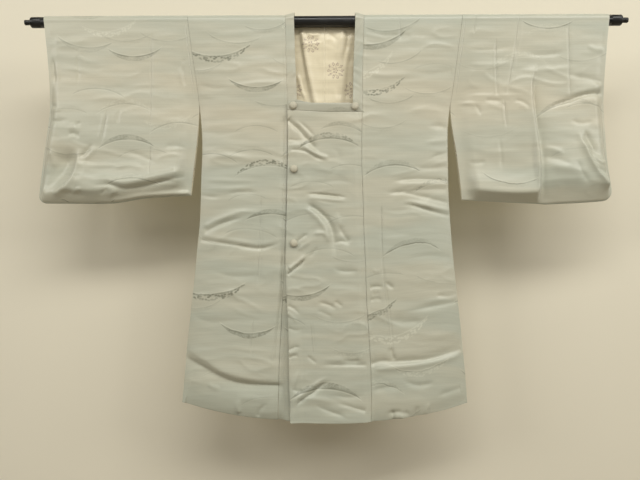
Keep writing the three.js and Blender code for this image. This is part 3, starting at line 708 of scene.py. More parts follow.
def cloth_wall(name, points, wall, along, keep=None, ring=False, strips=1, facing=1, lined=True):
    """A closed wall of even thickness round a grid of middle points, with rounded edges.

    along is the distance down the cloth at each grid point, the second pattern coordinate. keep says which
    cells are cloth, a ring joins its last row to its first. facing is -1 where the grid runs the other way
    round, so that its outer side still has the first material. A lined wall has the second one inside.
    """
    height, columns = points.shape[:2]
    cell_rows = height if ring else height - 1
    if keep is None:
        keep = np.ones((cell_rows, columns - 1), bool)
    normals = normals_of(points, ring) * facing
    around = np.pad(keep, 1)
    if ring:
        around[0, 1:-1], around[-1, 1:-1] = keep[-1], keep[0]
    out, met = np.zeros((2, height, columns, 3)), np.zeros((2, height, columns, 1))
    rims = []
    for (dj, di), ends in OPEN_SIDES.items():
        beyond = around[1 + dj : 1 + dj + cell_rows, 1 + di : di + columns]
        jj, ii = np.nonzero(keep & ~beyond)
        for ej, ei in ends:
            vj, vi = (jj + ej) % height, ii + ei
            inward = points[(jj + (1 - ej if dj else ej)) % height, ii + (1 - ei if di else ei)]
            kind = 0 if di else 1
            np.add.at(out[kind], (vj, vi), unit(points[vj, vi] - inward))
            np.add.at(met[kind], (vj, vi), 1)
        rims.append((jj[:, None], ii[:, None], ends, (di, dj)))
    out = (out / np.maximum(met, 1)).sum(axis=0)
    half = wall / 2
    turns = np.radians((0, 45, 90))
    corner = [(CORNER * (1 - math.sin(a)), half - CORNER * (1 - math.cos(a))) for a in turns]
    profile = corner + [(inset, -level) for inset, level in reversed(corner)]
    layers = [points - out * inset + normals * level for inset, level in profile]
    stacked = np.concatenate(layers).reshape(-1, 3)
    parts = []

    def add_faces(j, i, layers, baked, side):
        ids = (j % height) * columns + i + layers * height * columns
        places = np.stack([points[j % height, i, 0], along[j, i]], axis=-1) * MM
        parts.append((ids, places, baked, np.full(len(ids), side, np.int32)))

    jj, ii = np.nonzero(keep)
    j, i = jj[:, None] + [0, 0, 1, 1], ii[:, None] + [0, 1, 1, 0]
    map_size = (columns, cell_rows, strips)
    add_faces(j, i, 0, bake_places(i, j, *map_size), 0)
    inner_places = bake_places(i, j, *map_size, inner=True)
    add_faces(j[:, ::-1], i[:, ::-1], EDGE_STEPS, inner_places[:, ::-1], int(lined))
    for jj, ii, ((pj, pi), (qj, qi)), way in rims:
        j, i = jj + [pj, pj, qj, qj], ii + [pi, pi, qi, qi]
        # the cell's own corner goes first, so that both ends fall in its strip
        baked = bake_places(np.hstack([ii, i]), np.hstack([jj, j]), *map_size)[:, 1:]
        for step in range(EDGE_STEPS):
            layers = step + np.array([0, 1, 1, 0])
            add_faces(j, i, layers, baked + layers[:, None] * BAKE_STEP * np.array(way), 0)
    faces, places, baked, sides = (np.concatenate(part) for part in zip(*parts))
    a, b, c, d = (stacked[faces[:, k]] for k in range(4))
    if np.einsum("ij,ij->", a, np.cross(b, c) + np.cross(c, d)) < 0:
        faces, places, baked = faces[:, ::-1], places[:, ::-1], baked[:, ::-1]
    used, ids = np.unique(faces, return_inverse=True)
    obj = mesh_object(name, stacked[used], ids.reshape(faces.shape).tolist())
    for map_name, corners in (("OFBake", baked), ("Cloth", places)):
        layer = obj.data.uv_layers.new(name=map_name)
        layer.data.foreach_set("uv", np.ascontiguousarray(corners, dtype=np.float32).ravel())
    obj.data.polygons.foreach_set("material_index", sides)
    return obj


def mesh_object(name, points, faces):
    """A smooth-shaded object from points in millimetres."""
    mesh = bpy.data.meshes.new(name)
    mesh.from_pydata((points * MM).tolist(), [], faces)
    mesh.polygons.foreach_set("use_smooth", np.ones(len(mesh.polygons), bool))
    mesh.update()
    if mesh.validate():
        raise RuntimeError(f"{name}: its mesh needed mending")
    return place_object(name, mesh)


def place_object(name, data):
    obj = bpy.data.objects.new(name, data)
    bpy.context.scene.collection.objects.link(obj)
    return obj


def finish_piece(obj, node, slot, *materials):
    """The piece takes its materials and stands for its solid."""
    for material in materials:
        obj.data.materials.append(material)
    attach(obj, "root")
    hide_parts(node)


QUARTER = HANG * math.pi / 2  # cloth from the top of the pole to its front


def distance_down(points, start_row):
    """Distance along the cloth from the front of the pole's level, for a grid whose rows cross the pole."""
    steps = np.linalg.norm(np.diff(points, axis=0), axis=2)
    along = np.concatenate([0 * steps[:1], np.cumsum(steps, axis=0)])
    return along - along[start_row] + QUARTER


# ---- Materials ----
def srgb(red, green, blue):
    """Linear colour of an 8-bit one."""
    values = (c / 255 for c in (red, green, blue))
    return tuple(c / 12.92 if c <= 0.04045 else ((c + 0.055) / 1.055) ** 2.4 for c in values)


class Tree:
    """A node tree with short calls to add and join its nodes."""

    def __init__(self, tree):
        self.tree = tree

    def set(self, socket, value):
        if isinstance(value, bpy.types.NodeSocket):
            self.tree.links.new(value, socket)
        elif isinstance(value, (tuple, list)) and socket.type == "RGBA" and len(value) == 3:
            socket.default_value = (*value, 1)
        else:
            socket.default_value = value

    def add(self, kind, inputs=None, **settings):
        node = self.tree.nodes.new(kind)
        for name, value in settings.items():
            setattr(node, name, value)
        for name, value in (inputs or {}).items():
            self.set(node.inputs[name], value)
        return node

    def math(self, operation, *values, clamped=False):
        node = self.add("ShaderNodeMath", dict(enumerate(values)), operation=operation, use_clamp=clamped)
        return node.outputs[0]

    def times(self, a, b):
        return self.math("MULTIPLY", a, b)

    def plus(self, a, b, clamped=False):
        return self.math("ADD", a, b, clamped=clamped)

    def less(self, a, b):
        return self.math("SUBTRACT", a, b)

    def most(self, values):
        """The largest of some values."""
        largest, *rest = values
        for value in rest:
            largest = self.math("MAXIMUM", largest, value)
        return largest

    def vector(self, operation, *values):
        node = self.add("ShaderNodeVectorMath", dict(enumerate(values)), operation=operation)
        return node.outputs["Value" if operation in ("LENGTH", "DISTANCE", "DOT_PRODUCT") else "Vector"]

    def step(self, value, low, high, to_low=0.0, to_high=1.0):
        """A smooth step from to_low at low to to_high at high, either of which may be the larger."""
        inputs = {"Value": value, "From Min": low, "From Max": high, "To Min": to_low, "To Max": to_high}
        return self.add("ShaderNodeMapRange", inputs, interpolation_type="SMOOTHSTEP").outputs["Result"]

    def split(self, vector):
        return self.add("ShaderNodeSeparateXYZ", {"Vector": vector}).outputs

    def join(self, x, y, z=0.0):
        return self.add("ShaderNodeCombineXYZ", {"X": x, "Y": y, "Z": z}).outputs[0]

    def scaled(self, vector, *factors):
        return self.vector("MULTIPLY", vector, factors)

    def noise(self, vector, detail=2.0, roughness=0.5):
        inputs = {"Vector": vector, "Scale": 1.0, "Detail": detail, "Roughness": roughness}
        return self.add("ShaderNodeTexNoise", inputs, noise_dimensions="2D").outputs["Fac"]

    def cloud(self, vector, scale, detail=2.0, output="Fac"):
        inputs = {"Vector": vector, "Scale": scale, "Detail": detail}
        return self.add("ShaderNodeTexNoise", inputs).outputs[output]

    def tint(self, factor, a, b, blend="MIX"):
        node = self.add("ShaderNodeMix", data_type="RGBA", blend_type=blend)
        for socket, value in zip([node.inputs[0], node.inputs[6], node.inputs[7]], (factor, a, b)):
            self.set(socket, value)
        return node.outputs[2]

    def group(self, tree, **inputs):
        node = self.add("ShaderNodeGroup", node_tree=tree)
        for name, value in inputs.items():
            self.set(node.inputs[name], value)
        return node.outputs


def node_group(name, inputs, outputs):
    """A new shader node group with those sockets: its tree with short calls, its inputs and its results."""
    tree = bpy.data.node_groups.new(name, "ShaderNodeTree")
    for socket_name, (kind, default) in inputs.items():
        socket = tree.interface.new_socket(socket_name, in_out="INPUT", socket_type="NodeSocket" + kind)
        socket.default_value = default
    for socket_name in outputs:
        tree.interface.new_socket(socket_name, in_out="OUTPUT", socket_type="NodeSocketFloat")
    nodes = Tree(tree)
    return nodes, nodes.add("NodeGroupInput").outputs, nodes.add("NodeGroupOutput").inputs


# The woven figure: crescents of one size and their smaller relatives, strewn in a repeat of the cloth. A
# crescent's middle is at across, along, in millimetres; it opens up (way 1) or down (-1) and leans by turn
# degrees. The rest are the strengths of its line, its shaded belly and its dark or pale leaves.
Arc = namedtuple("Arc", "across along size turn way line fill leaf glint")
Figure = namedtuple("Figure", "repeat arcs")


def figure(repeat, table):
    """Reads a figure's crescents, one to a line with a value for each name in Arc."""
    lines = [line for line in table.split("\n") if line.strip()]
    return Figure(repeat, [Arc(*(float(n) for n in line.split())) for line in lines])


FIGURES = {
    "right": figure(
        (360, 930),
        """
        -248 -99 1.12 4 1 0.7 0 1 0.3
        -164 -172 0.97 -2 1 1 0.8 0 0
        -137 -32 0.75 6 1 0.5 0.25 0 0
        -214 -66 0.95 -4 1 0.4 0.15 0 0.2
        -292 -128 0.75 3 1 0.45 0.2 0 0
        -95 -214 1 8 1 0.35 0.15 0 0
        -74 -120 0.8 -6 1 0.3 0.1 0 0
        -161 -242 0.78 0 -1 0.4 0.1 0 0
        -175 -299 0.8 3 -1 0.55 0.2 0 0
        -258 -308 0.85 -6 -1 0.65 0.2 0 0
        -142 -332 1.05 4 -1 0.5 0 1 0.1
        -119 -447 0.97 -3 -1 1 0.85 0 0
        -184 -406 0.7 5 -1 0.35 0.1 0 0
        -172 -484 0.95 -2 -1 0.35 0.15 0 0
        -250 -545 0.9 -10 1 0.3 0.1 0 0.1
        -262 -668 1.15 3 1 0.7 0 1 0.3
        -292 -694 0.75 3 1 0.4 0.2 0 0
        -181 -755 0.97 0 1 1 0.85 0 0.2
        -236 -836 0.8 -8 -1 0.15 0 0 0.3
        -140 -884 0.9 6 -1 0.3 0.15 0 0.1
        -44 -290 0.9 5 -1 0.6 0.2 0.6 0.2
        -42 -500 0.9 -4 1 0.9 0.6 0 0
        -40 -40 0.95 3 1 0 0 0 0.9
        -42 -640 0.9 4 1 0.7 0.3 0.6 0.2
        -44 -800 0.9 -3 -1 0.9 0.5 0 0
        """,
    ),
    "left": figure(
        (360, 930),
        """
        126 -71 1.1 10 1 1 0.6 0 0
        165 -38 1 9 1 0.55 0.25 0 0
        182 -110 0.8 14 1 0.5 0.1 0 0
        104 -136 1.05 20 1 0 0 0 0.9
        126 -178 1 9 1 0.25 0 0.95 0.1
        245 -186 0.85 2 1 0.4 0.1 0 0.15
        158 -207 0.8 4 1 0.45 0.1 0 0
        139 -266 0.8 3 1 0.35 0.1 0 0
        157 -333 0.97 4 -1 1 0.35 0.35 0
        268 -378 0.9 5 -1 0.35 0 0.55 0.3
        270 -96 0.9 -4 -1 0.2 0.1 0 0
        201 -522 1 4 -1 1 0.4 0 0
        122 -590 0.9 12 -1 0.35 0.1 0 0
        270 -640 0.9 -4 1 0.25 0.1 0 0
        110 -706 1 14 1 0.7 0.3 0.8 0
        168 -762 1.2 10 1 0 0 0 1
        226 -848 1 4 1 0.4 0.1 0 0.7
        128 -852 0.9 -4 -1 0.6 0.1 0 0.5
        0 -420 1.05 -6 1 1 0.8 0 0
        24 -196 1 5 -1 0.5 0.2 0.8 0
        10 -640 1 2 -1 0.6 0.3 0 0.5
        20 -860 0.9 0 1 0.8 0.5 0 0
        """,
    ),
    "overlap": figure(
        (360, 930),
        """
        8 -268 1.05 2 -1 0.9 0.45 0.7 0
        44 -241 0.8 -6 -1 0.5 0.5 0 0
        66 -333 0.8 -4 -1 0.4 0.1 0 0
        -30 -372 0.8 0 -1 0.3 0.1 0 0
        60 -452 0.9 4 -1 0.3 0.1 0 0
        -40 -446 1 6 -1 0.35 0.1 0 0
        10 -528 0.9 0 -1 0.35 0.1 0 0.1
        78 -580 0.9 4 1 0.3 0.1 0 0
        -50 -661 1 5 1 1 0.8 0 0
        -92 -688 0.8 -8 -1 0.5 0.1 0 0
        40 -722 0.9 3 1 0.3 0.1 0 0.2
        2 -851 1.25 0 -1 1 0.85 0 0.3
        70 -792 0.8 4 1 0.2 0.1 0 0.5
        """,
    ),
    "right sleeve": figure(
        (360, 470),
        """
        -448 -97 0.95 1 1 1 0.55 0 0
        -569 -76 1 -6 1 0.55 0.3 0 0
        -470 -60 0.9 0 1 0.3 0.1 0 0
        -506 -39 0.95 6 1 0 0 0 0.8
        -560 2 1 2 1 0.8 0.3 0 0
        -532 -151 0.95 -4 -1 0.5 0.1 0 0
        -474 -188 0.95 2 -1 0.3 0 0 0.5
        -468 -272 1 2 -1 0.9 0.7 0 0.1
        -349 -233 0.95 4 -1 0.5 0.1 0 0.3
        -368 -258 0.8 8 1 0 0 0 0.6
        -429 -296 0.9 4 -1 0.3 0.1 0 0
        -452 -368 0.95 0 -1 0.7 0.15 0 0.4
        -620 -200 0.9 5 -1 0.3 0.1 0 0
        -380 -60 0.9 -5 1 0.3 0.1 0 0
        -610 -330 0.9 -5 1 0.5 0.2 0 0
        """,
    ),
    "left sleeve": figure(
        (360, 470),
        """
        523 -33 0.9 0 1 0.85 0.15 0 0
        528 -12 0.8 0 -1 0 0 0 0.35
        450 -80 0.95 8 -1 0.1 0 0 0.45
        560 -190 1.1 10 -1 0.55 0.4 0 0
        620 -196 0.8 -8 -1 0.5 0.1 0 0.2
        610 -110 0.9 6 1 0.3 0.1 0 0
        430 -402 0.95 -6 1 0.8 0.1 0 0
        390 -290 0.9 4 1 0.15 0 0 0.1
        585 -300 0.9 2 -1 0.2 0.1 0 0
        370 -130 0.9 0 1 0.2 0 0 0
        """,
    ),
}
OUTER_RADIUS, INNER_RADIUS, INNER_CENTRE = 85.0, 126.1, 138.1  # the two circles of a crescent
LEAF_CENTRE = 100.0  # leaves are strewn by turn and distance from here
ORIGIN = ("Vector", (0, 0, 0))
ARC_INPUTS = {
    "Coordinates": ORIGIN,
    "Place": ORIGIN,
    "Size": ("Float", 1),
    "Way": ("Float", 1),
    "Turn": ("Float", 0),
}


def wrapped(nodes, given, repeat):
    """Coordinates moved by whole repeats to the one nearest to a place."""
    half = (repeat[0] / 2, repeat[1] / 2, 1)
    most = nodes.vector("ADD", given["Place"], half)
    least = nodes.vector("SUBTRACT", given["Place"], half)
    return nodes.vector("WRAP", given["Coordinates"], most, least)


def crescent(name, repeat, outputs):
    """The start of a group: a crescent's own coordinates and the distances from its two centres."""
    nodes, given, results = node_group(name, ARC_INPUTS, outputs)
    scale = nodes.join(given["Size"], nodes.times(given["Size"], given["Way"]), 1.0)
    turn = nodes.join(0.0, 0.0, given["Turn"])
    near = wrapped(nodes, given, repeat)
    inputs = {"Vector": near, "Location": given["Place"], "Rotation": turn, "Scale": scale}
    own = nodes.add("ShaderNodeMapping", inputs, vector_type="TEXTURE").outputs[0]
    outer = nodes.vector("DISTANCE", own, (0, OUTER_RADIUS, 0))
    return nodes, results, own, outer, nodes.vector("DISTANCE", own, (0, INNER_CENTRE, 0))


def woven_arc_group(name, repeat):
    """One crescent, in millimetres: its dark line, its shaded belly and the pale thread along its inside."""
    nodes, results, _, outer, inner = crescent(name, repeat, ("Line", "Fill", "Pale"))
    inside = nodes.step(outer, OUTER_RADIUS + 0.8, OUTER_RADIUS - 0.8)
    for part, radius, thick in (("Line", INNER_RADIUS + 1.0, 1.5), ("Pale", INNER_RADIUS - 1.8, 1.2)):
        away = nodes.math("ABSOLUTE", nodes.less(inner, radius))
        nodes.set(results[part], nodes.times(nodes.step(away, thick + 0.5, thick - 0.4), inside))
    nodes.set(results["Fill"], nodes.times(nodes.step(inner, INNER_RADIUS - 1, INNER_RADIUS + 2.5), inside))
    return nodes.tree


def arc_leaves_group(name, repeat):
    """Small leaves scattered along a crescent's belly, in millimetres."""
    nodes, results, own, outer, inner = crescent(name, repeat, ("Leaves",))
    x, y, _ = nodes.split(own)
    along = nodes.times(nodes.math("ARCTAN2", x, nodes.less(LEAF_CENTRE, y)), 12.5)
    across = nodes.times(nodes.vector("DISTANCE", own, (0, LEAF_CENTRE, 0)), 0.2)
    inputs = {"Vector": nodes.join(along, across), "Scale": 1.0, "Randomness": 0.9}
    apart = nodes.add("ShaderNodeTexVoronoi", inputs, voronoi_dimensions="2D").outputs["Distance"]
    within = nodes.step(outer, OUTER_RADIUS + 3.0, OUTER_RADIUS + 0.5)
    belly = nodes.step(inner, INNER_RADIUS - 1.5, INNER_RADIUS)
    nodes.set(results["Leaves"], nodes.times(nodes.step(apart, 0.5, 0.3), nodes.times(within, belly)))
    return nodes.tree


def woven_figure_group(name, figure):
    """All crescents of a figure, from pattern coordinates in millimetres."""
    nodes, given, results = node_group(name, {"Coordinates": ORIGIN}, ("Dark", "Pale"))
    arc_tree = woven_arc_group(f"{name}: crescent", figure.repeat)
    leaf_tree = arc_leaves_group(f"{name}: leaves", figure.repeat)
    place = given["Coordinates"]
    marks, leaves = None, None

    def most(total, more):
        return more if total is None else nodes.vector("MAXIMUM", total, more)

    for arc in figure.arcs:
        at = {
            "Coordinates": place,
            "Place": (arc.across, arc.along, 0.0),
            "Size": arc.size,
            "Way": arc.way,
            "Turn": math.radians(arc.turn),
        }
        own = nodes.group(arc_tree, **at)
        parts = nodes.join(own["Line"], own["Fill"], own["Pale"])
        marks = most(marks, nodes.scaled(parts, arc.line, arc.fill, 0.3 * arc.line + 0.35 * arc.glint))
        if arc.leaf or arc.glint:
            leaf = nodes.group(leaf_tree, **at)["Leaves"]
            leaves = most(leaves, nodes.scaled(nodes.join(leaf, leaf), arc.leaf, 0.5 * arc.glint, 0))
    line, fill, pale = nodes.split(marks)
    dark_leaves, pale_leaves, _ = nodes.split(leaves)
    hatch = nodes.noise(nodes.scaled(place, 0.16, 0.34, 0), 3.0)
    thinned = nodes.times(fill, nodes.step(hatch, 0.3, 0.65, 0.4, 0.9))
    dark = nodes.most([nodes.times(line, 0.85), thinned, dark_leaves])
    worn = nodes.step(nodes.noise(nodes.scaled(place, 0.03, 0.05, 0)), 0.35, 0.6, 0.55, 1.0)
    nodes.set(results["Dark"], nodes.times(dark, worn))
    nodes.set(results["Pale"], nodes.most([pale, pale_leaves]))
    return nodes.tree


# How beige the dyed bands are, down the cloth from the shoulder to the hem.
BAND_STOPS = (
    (0, 0.15), (0.05, 0.25), (0.1, 0.75), (0.26, 0.7), (0.34, 0.3),
    (0.6, 0.2), (0.7, 0.3), (0.78, 0.25), (0.9, 0.1), (1, 0.05),
)


def silk_ground_group():
    """Dyed bands along the weft, fine weft streaks and the relief of the weave, from places in metres."""
    inputs = {"Coordinates": ORIGIN, "Thread": ("Float", 0.0009)}
    nodes, given, results = node_group("Silk ground", inputs, ("Band", "Streak", "Height"))
    place = given["Coordinates"]
    x, y, _ = nodes.split(place)
    bands = nodes.add("ShaderNodeValToRGB", {"Fac": nodes.math("DIVIDE", nodes.math("ABSOLUTE", y), 0.96)})
    ramp = bands.color_ramp
    ramp.interpolation = "B_SPLINE"
    while len(ramp.elements) < len(BAND_STOPS):
        ramp.elements.new(0.5)
    for element, (at, value) in zip(ramp.elements, BAND_STOPS):
        element.position = at
        element.color = (value, value, value, 1)
    cloud = nodes.step(nodes.noise(nodes.scaled(place, 2.4, 13, 0), 3.0), 0.3, 0.7, -0.3, 0.3)
    nodes.set(results["Band"], nodes.plus(bands.outputs["Color"], cloud, clamped=True))
    streak = nodes.noise(nodes.scaled(place, 9, 330, 0), 2.0, 0.6)
    nodes.set(results["Streak"], nodes.step(streak, 0.25, 0.75, -1.0, 1.0))
    turn = nodes.math("DIVIDE", 2 * math.pi, given["Thread"])
    warp = nodes.math("SINE", nodes.times(nodes.plus(x, nodes.times(y, 0.35)), turn))
    weft = nodes.math("SINE", nodes.times(y, nodes.times(turn, 1.3)))
    threads = nodes.times(nodes.plus(warp, weft), 0.25)
    uneven = nodes.noise(nodes.scaled(place, 260, 700, 0), 2.0, 0.6)
    nodes.set(results["Height"], nodes.plus(threads, nodes.plus(uneven, nodes.times(streak, 0.8))))
    return nodes.tree


def pressed_crease_group():
    """A fine pressed line between two points of the cloth, in millimetres: 1 away from it, 0 on it."""
    inputs = {"Coordinates": ORIGIN, "Start": ORIGIN, "End": ("Vector", (0, 100, 0)), "Width": ("Float", 1.6)}
    nodes, given, results = node_group("Pressed crease", inputs, ("Height",))
    span = nodes.vector("SUBTRACT", given["End"], given["Start"])
    own = nodes.vector("SUBTRACT", given["Coordinates"], given["Start"])
    reached, whole = (nodes.vector("DOT_PRODUCT", side, span) for side in (own, span))
    share = nodes.plus(nodes.math("DIVIDE", reached, whole), 0.0, clamped=True)
    near = nodes.vector("SUBTRACT", own, nodes.vector("MULTIPLY", span, nodes.join(share, share, share)))
    deep = nodes.times(nodes.step(share, 0.0, 0.2), nodes.step(share, 1.0, 0.7))
    groove = nodes.step(nodes.vector("LENGTH", near), given["Width"], 0.0)
    nodes.set(results["Height"], nodes.less(1.0, nodes.times(groove, deep)))
    return nodes.tree


ROSETTES = ((-33, -51), (26, -114), (-75, -160), (-4, -225))
ROSETTE_REPEAT = (142.0, 232.0)
# The rings of a rosette: how many dots, their distance from the middle, their radius and their strength.
ROSETTE_RINGS = ((10, 15.5, 4.0, 1.0), (10, 19.5, 1.4, 0.7), (8, 10.0, 1.4, 0.6), (5, 4.6, 2.4, 0.9))
HOLLOW = 3  # dots larger than this have a paler heart


def rosette_group():
    """A ring of dots round a small flower, about 36 mm across, in millimetres."""
    nodes, given, results = node_group("Rosette", {"Coordinates": ORIGIN, "Place": ORIGIN}, ("Dots",))
    own = nodes.vector("SUBTRACT", wrapped(nodes, given, ROSETTE_REPEAT), given["Place"])
    shaky = nodes.vector("SUBTRACT", nodes.cloud(own, 0.22, output="Color"), (0.5, 0.5, 0.5))
    own = nodes.vector("ADD", own, nodes.scaled(shaky, 9, 9, 0))
    x, y, _ = nodes.split(own)
    radius = nodes.vector("LENGTH", own)
    turn = nodes.math("ARCTAN2", y, x)
    rings = []
    for count, at, size, strength in ROSETTE_RINGS:
        lobe = nodes.less(1.0, nodes.math("COSINE", nodes.times(turn, float(count))))
        sideways = nodes.times(lobe, math.pi * at / count / 2)
        away = nodes.plus(nodes.math("ABSOLUTE", nodes.less(radius, at)), sideways)
        dots = nodes.times(nodes.step(away, size + 0.8, size - 0.6), strength)
        if size > HOLLOW:
            dots = nodes.times(dots, nodes.step(away, size - 2.6, size - 1.4, 0.25, 1.0))
        rings.append(dots)
    heart = nodes.times(nodes.step(radius, 2.0, 1.0), 0.6)
    patchy = nodes.step(nodes.noise(nodes.scaled(given["Coordinates"], 0.45, 0.45, 0)), 0.3, 0.6, 0.35, 1.0)
    nodes.set(results["Dots"], nodes.times(nodes.most([*rings, heart]), patchy))
    return nodes.tree


def shared(name, make, *needs):
    """The node group of that name, made once."""
    return bpy.data.node_groups.get(name) or make(*needs)


def new_material(name):
    material = bpy.data.materials.new(name)
    material.use_nodes = True
    return material, Tree(material.node_tree), material.node_tree.nodes["Principled BSDF"]


def surface(nodes, shader, colour, roughness, height, strength, distance=0.0002):
    """Sets a shader's colour, roughness and fine relief, and returns the relief's normal."""
    nodes.set(shader.inputs["Base Color"], colour)
    nodes.set(shader.inputs["Roughness"], roughness)
    relief = {"Height": height, "Strength": strength, "Distance": distance}
    normal = nodes.add("ShaderNodeBump", relief).outputs[0]
    nodes.set(shader.inputs["Normal"], normal)
    return normal


def cloth_start(name, **thread):
    """A cloth's material, its places in millimetres and its silk ground."""
    material, nodes, shader = new_material(name)
    cloth = nodes.add("ShaderNodeUVMap", uv_map="Cloth").outputs[0]
    ground = nodes.group(shared("Silk ground", silk_ground_group), Coordinates=cloth, **thread)
    return material, nodes, shader, nodes.scaled(cloth, 1000, 1000, 0), ground


def streaked(nodes, ground, colour, contrast, tone):
    """The colour, lighter and darker along the weft, and darkened as a whole by painted shade where the last
    argument is below 1.
    """
    # The weft streaks, times a factor that paints shade into the colour where it is below 1.
    streaks_and_painted_shade = nodes.plus(nodes.times(ground["Streak"], contrast), tone)
    return nodes.tint(1.0, colour, nodes.join(streaks_and_painted_shade, streaks_and_painted_shade, streaks_and_painted_shade), "MULTIPLY")


def silk(name, figure="right", phase=(0, 0), strength=1.0, lines=(), tone=1.0):
    """Figured silk. phase moves the woven figure, in millimetres; lines are fine pressed creases. The last
    argument, when below 1, darkens the whole colour: painted shade, used for the collar and the overlap
    bands."""
    style = bpy.context.scene.coat_silk
    material, nodes, shader, place, ground = cloth_start(name)
    title = f"Woven figure {figure}"
    figure_tree = shared(title, woven_figure_group, title, FIGURES[figure])
    marks = nodes.group(figure_tree, Coordinates=nodes.vector("SUBTRACT", place, (*phase, 0)))
    colour = nodes.tint(ground["Band"], tuple(style.celadon), tuple(style.beige))
    colour = streaked(nodes, ground, colour, style.streaks, tone)
    colour = nodes.tint(nodes.times(marks["Pale"], 0.55 * strength), colour, tuple(style.pale_thread))
    colour = nodes.tint(nodes.times(marks["Dark"], 0.8 * strength), colour, tuple(style.dark_thread))
    gloss = nodes.plus(nodes.times(marks["Pale"], -0.12), nodes.times(ground["Streak"], 0.05))
    normal = surface(nodes, shader, colour, nodes.plus(gloss, style.roughness), ground["Height"], 0.25)
    shader.inputs["Specular IOR Level"].default_value = 0.55
    shader.inputs["Sheen Weight"].default_value = 0.25
    shader.inputs["Sheen Roughness"].default_value = 0.4
    height = None
    for start, end, width in lines:
        at = {"Coordinates": place, "Start": (*start, 0.0), "End": (*end, 0.0), "Width": width}
        own = nodes.group(shared("Pressed crease", pressed_crease_group), **at)["Height"]
        height = own if height is None else nodes.times(height, own)
    if height is not None:
        pressed = {"Height": height, "Strength": 0.8, "Distance": 0.0009, "Normal": normal}
        nodes.set(shader.inputs["Normal"], nodes.add("ShaderNodeBump", pressed).outputs[0])
    return material


def lining_satin():
    """Cream satin printed with small rosettes."""
    name = "Lining satin"
    if name in bpy.data.materials:
        return bpy.data.materials[name]
    style = bpy.context.scene.coat_lining
    material, nodes, shader, place, ground = cloth_start(name, Thread=0.0006)
    rosette = shared("Rosette", rosette_group)
    dots = nodes.most([nodes.group(rosette, Coordinates=place, Place=(*at, 0.0))["Dots"] for at in ROSETTES])
    colour = streaked(nodes, ground, tuple(style.satin), 0.03, 1.0)
    colour = nodes.tint(nodes.times(dots, 0.85), colour, tuple(style.dots))
    rough = nodes.plus(nodes.times(ground["Streak"], 0.04), style.roughness)
    surface(nodes, shader, colour, rough, ground["Height"], 0.2, 0.00015)
    shader.inputs["Sheen Weight"].default_value = 0.15
    return material


def button_silk():
    """Silk stretched over a button, gathered towards its back."""
    name = "Button silk"
    if name in bpy.data.materials:
        return bpy.data.materials[name]
    cover = tuple(bpy.context.scene.coat_buttons.cover)
    material, nodes, shader = new_material(name)
    x, _, z = nodes.split(nodes.add("ShaderNodeTexCoord").outputs["Object"])
    tree = shared("Silk ground", silk_ground_group)
    ground = nodes.group(tree, Coordinates=nodes.join(x, z), Thread=0.0007)
    worn = nodes.step(ground["Height"], 0.3, 1.6, 0.0, 0.35)
    colour = nodes.tint(worn, cover, tuple(min(1, c * 1.25) for c in cover))
    surface(nodes, shader, colour, nodes.step(ground["Streak"], -1.0, 1.0, 0.42, 0.55), ground["Height"], 0.4)
    shader.inputs["Sheen Weight"].default_value = 0.25
    return material


def black_enamel():
    """Semi-gloss black paint with a faint orange-peel surface and dulled patches."""
    name = "Black enamel"
    if name in bpy.data.materials:
        return bpy.data.materials[name]
    style = bpy.context.scene.coat_pole
    material, nodes, shader = new_material(name)
    place = nodes.add("ShaderNodeTexCoord").outputs["Object"]
    dull = nodes.cloud(place, 26.0, 4.0)
    grey = tuple(min(1, c * 2.2 + 0.004) for c in style.paint)
    colour = nodes.tint(nodes.step(dull, 0.45, 0.75, 0.0, 0.5), tuple(style.paint), grey)
    rough = nodes.step(dull, 0.3, 0.7, style.roughness - 0.06, style.roughness + 0.1)
    surface(nodes, shader, colour, rough, nodes.cloud(place, 420.0), 0.15)
    return material


# ---- Settings that a user would change ----
def colour_property(name, description, value):
    limits = {"min": 0, "max": 1, "default": value}
    return FloatVectorProperty(name=name, description=description, subtype="COLOR", **limits)


def number(name, description, value, low=0.0, high=10.0, **more):
    return FloatProperty(name=name, description=description, default=value, min=low, max=high, **more)


class CoatSilk(bpy.types.PropertyGroup):
    celadon: colour_property("Celadon", "Greenish bands of the silk", srgb(180, 182, 166))
    beige: colour_property("Beige", "Warmer bands of the silk", srgb(196, 190, 169))
    dark_thread: colour_property("Dark thread", "Shaded threads of the woven crescents", srgb(112, 113, 96))
    pale_thread: colour_property("Pale thread", "Bright threads of the woven crescents", srgb(232, 231, 213))
    streaks: number("Streaks", "Contrast of the weft streaks", 0.026, 0, 0.3)
    roughness: number("Roughness", "Roughness of the silk", 0.38, 0.1, 1)
    rumple: number("Rumple", "Height of the random unevenness", 1.0, 0, 2)


class CoatLining(bpy.types.PropertyGroup):
    satin: colour_property("Satin", "Ground of the lining", srgb(222, 211, 182))
    dots: colour_property("Dots", "Print of the lining", srgb(146, 122, 112))
    roughness: number("Roughness", "Roughness of the lining", 0.36, 0.1, 1)


class CoatButtons(bpy.types.PropertyGroup):
    radius: number(
        "Radius", "Radius of a covered button", BUTTON_RADIUS * MM, 0.004, 0.012, subtype="DISTANCE"
    )
    cover: colour_property("Cover", "Cloth of the covered buttons", srgb(186, 181, 161))


class CoatPole(bpy.types.PropertyGroup):
    paint: colour_property("Paint", "Paint of the pole", srgb(17, 17, 16))
    roughness: number("Roughness", "Roughness of the paint", 0.34, 0.1, 1)


class CoatStage(bpy.types.PropertyGroup):
    wall: colour_property("Wall", "Backdrop", srgb(226, 219, 200))
    floor: colour_property("Floor", "Floor under the coat", srgb(152, 143, 127))
    light: number("Light", "Power of the ceiling light in watts", 133, 0, 1000, subtype="POWER", unit="POWER")
    fill: number("Fill", "Strength of the light from all round", 0.04)
    show_wall: BoolProperty(name="Backdrop", description="Stand a backdrop behind the coat", default=True)


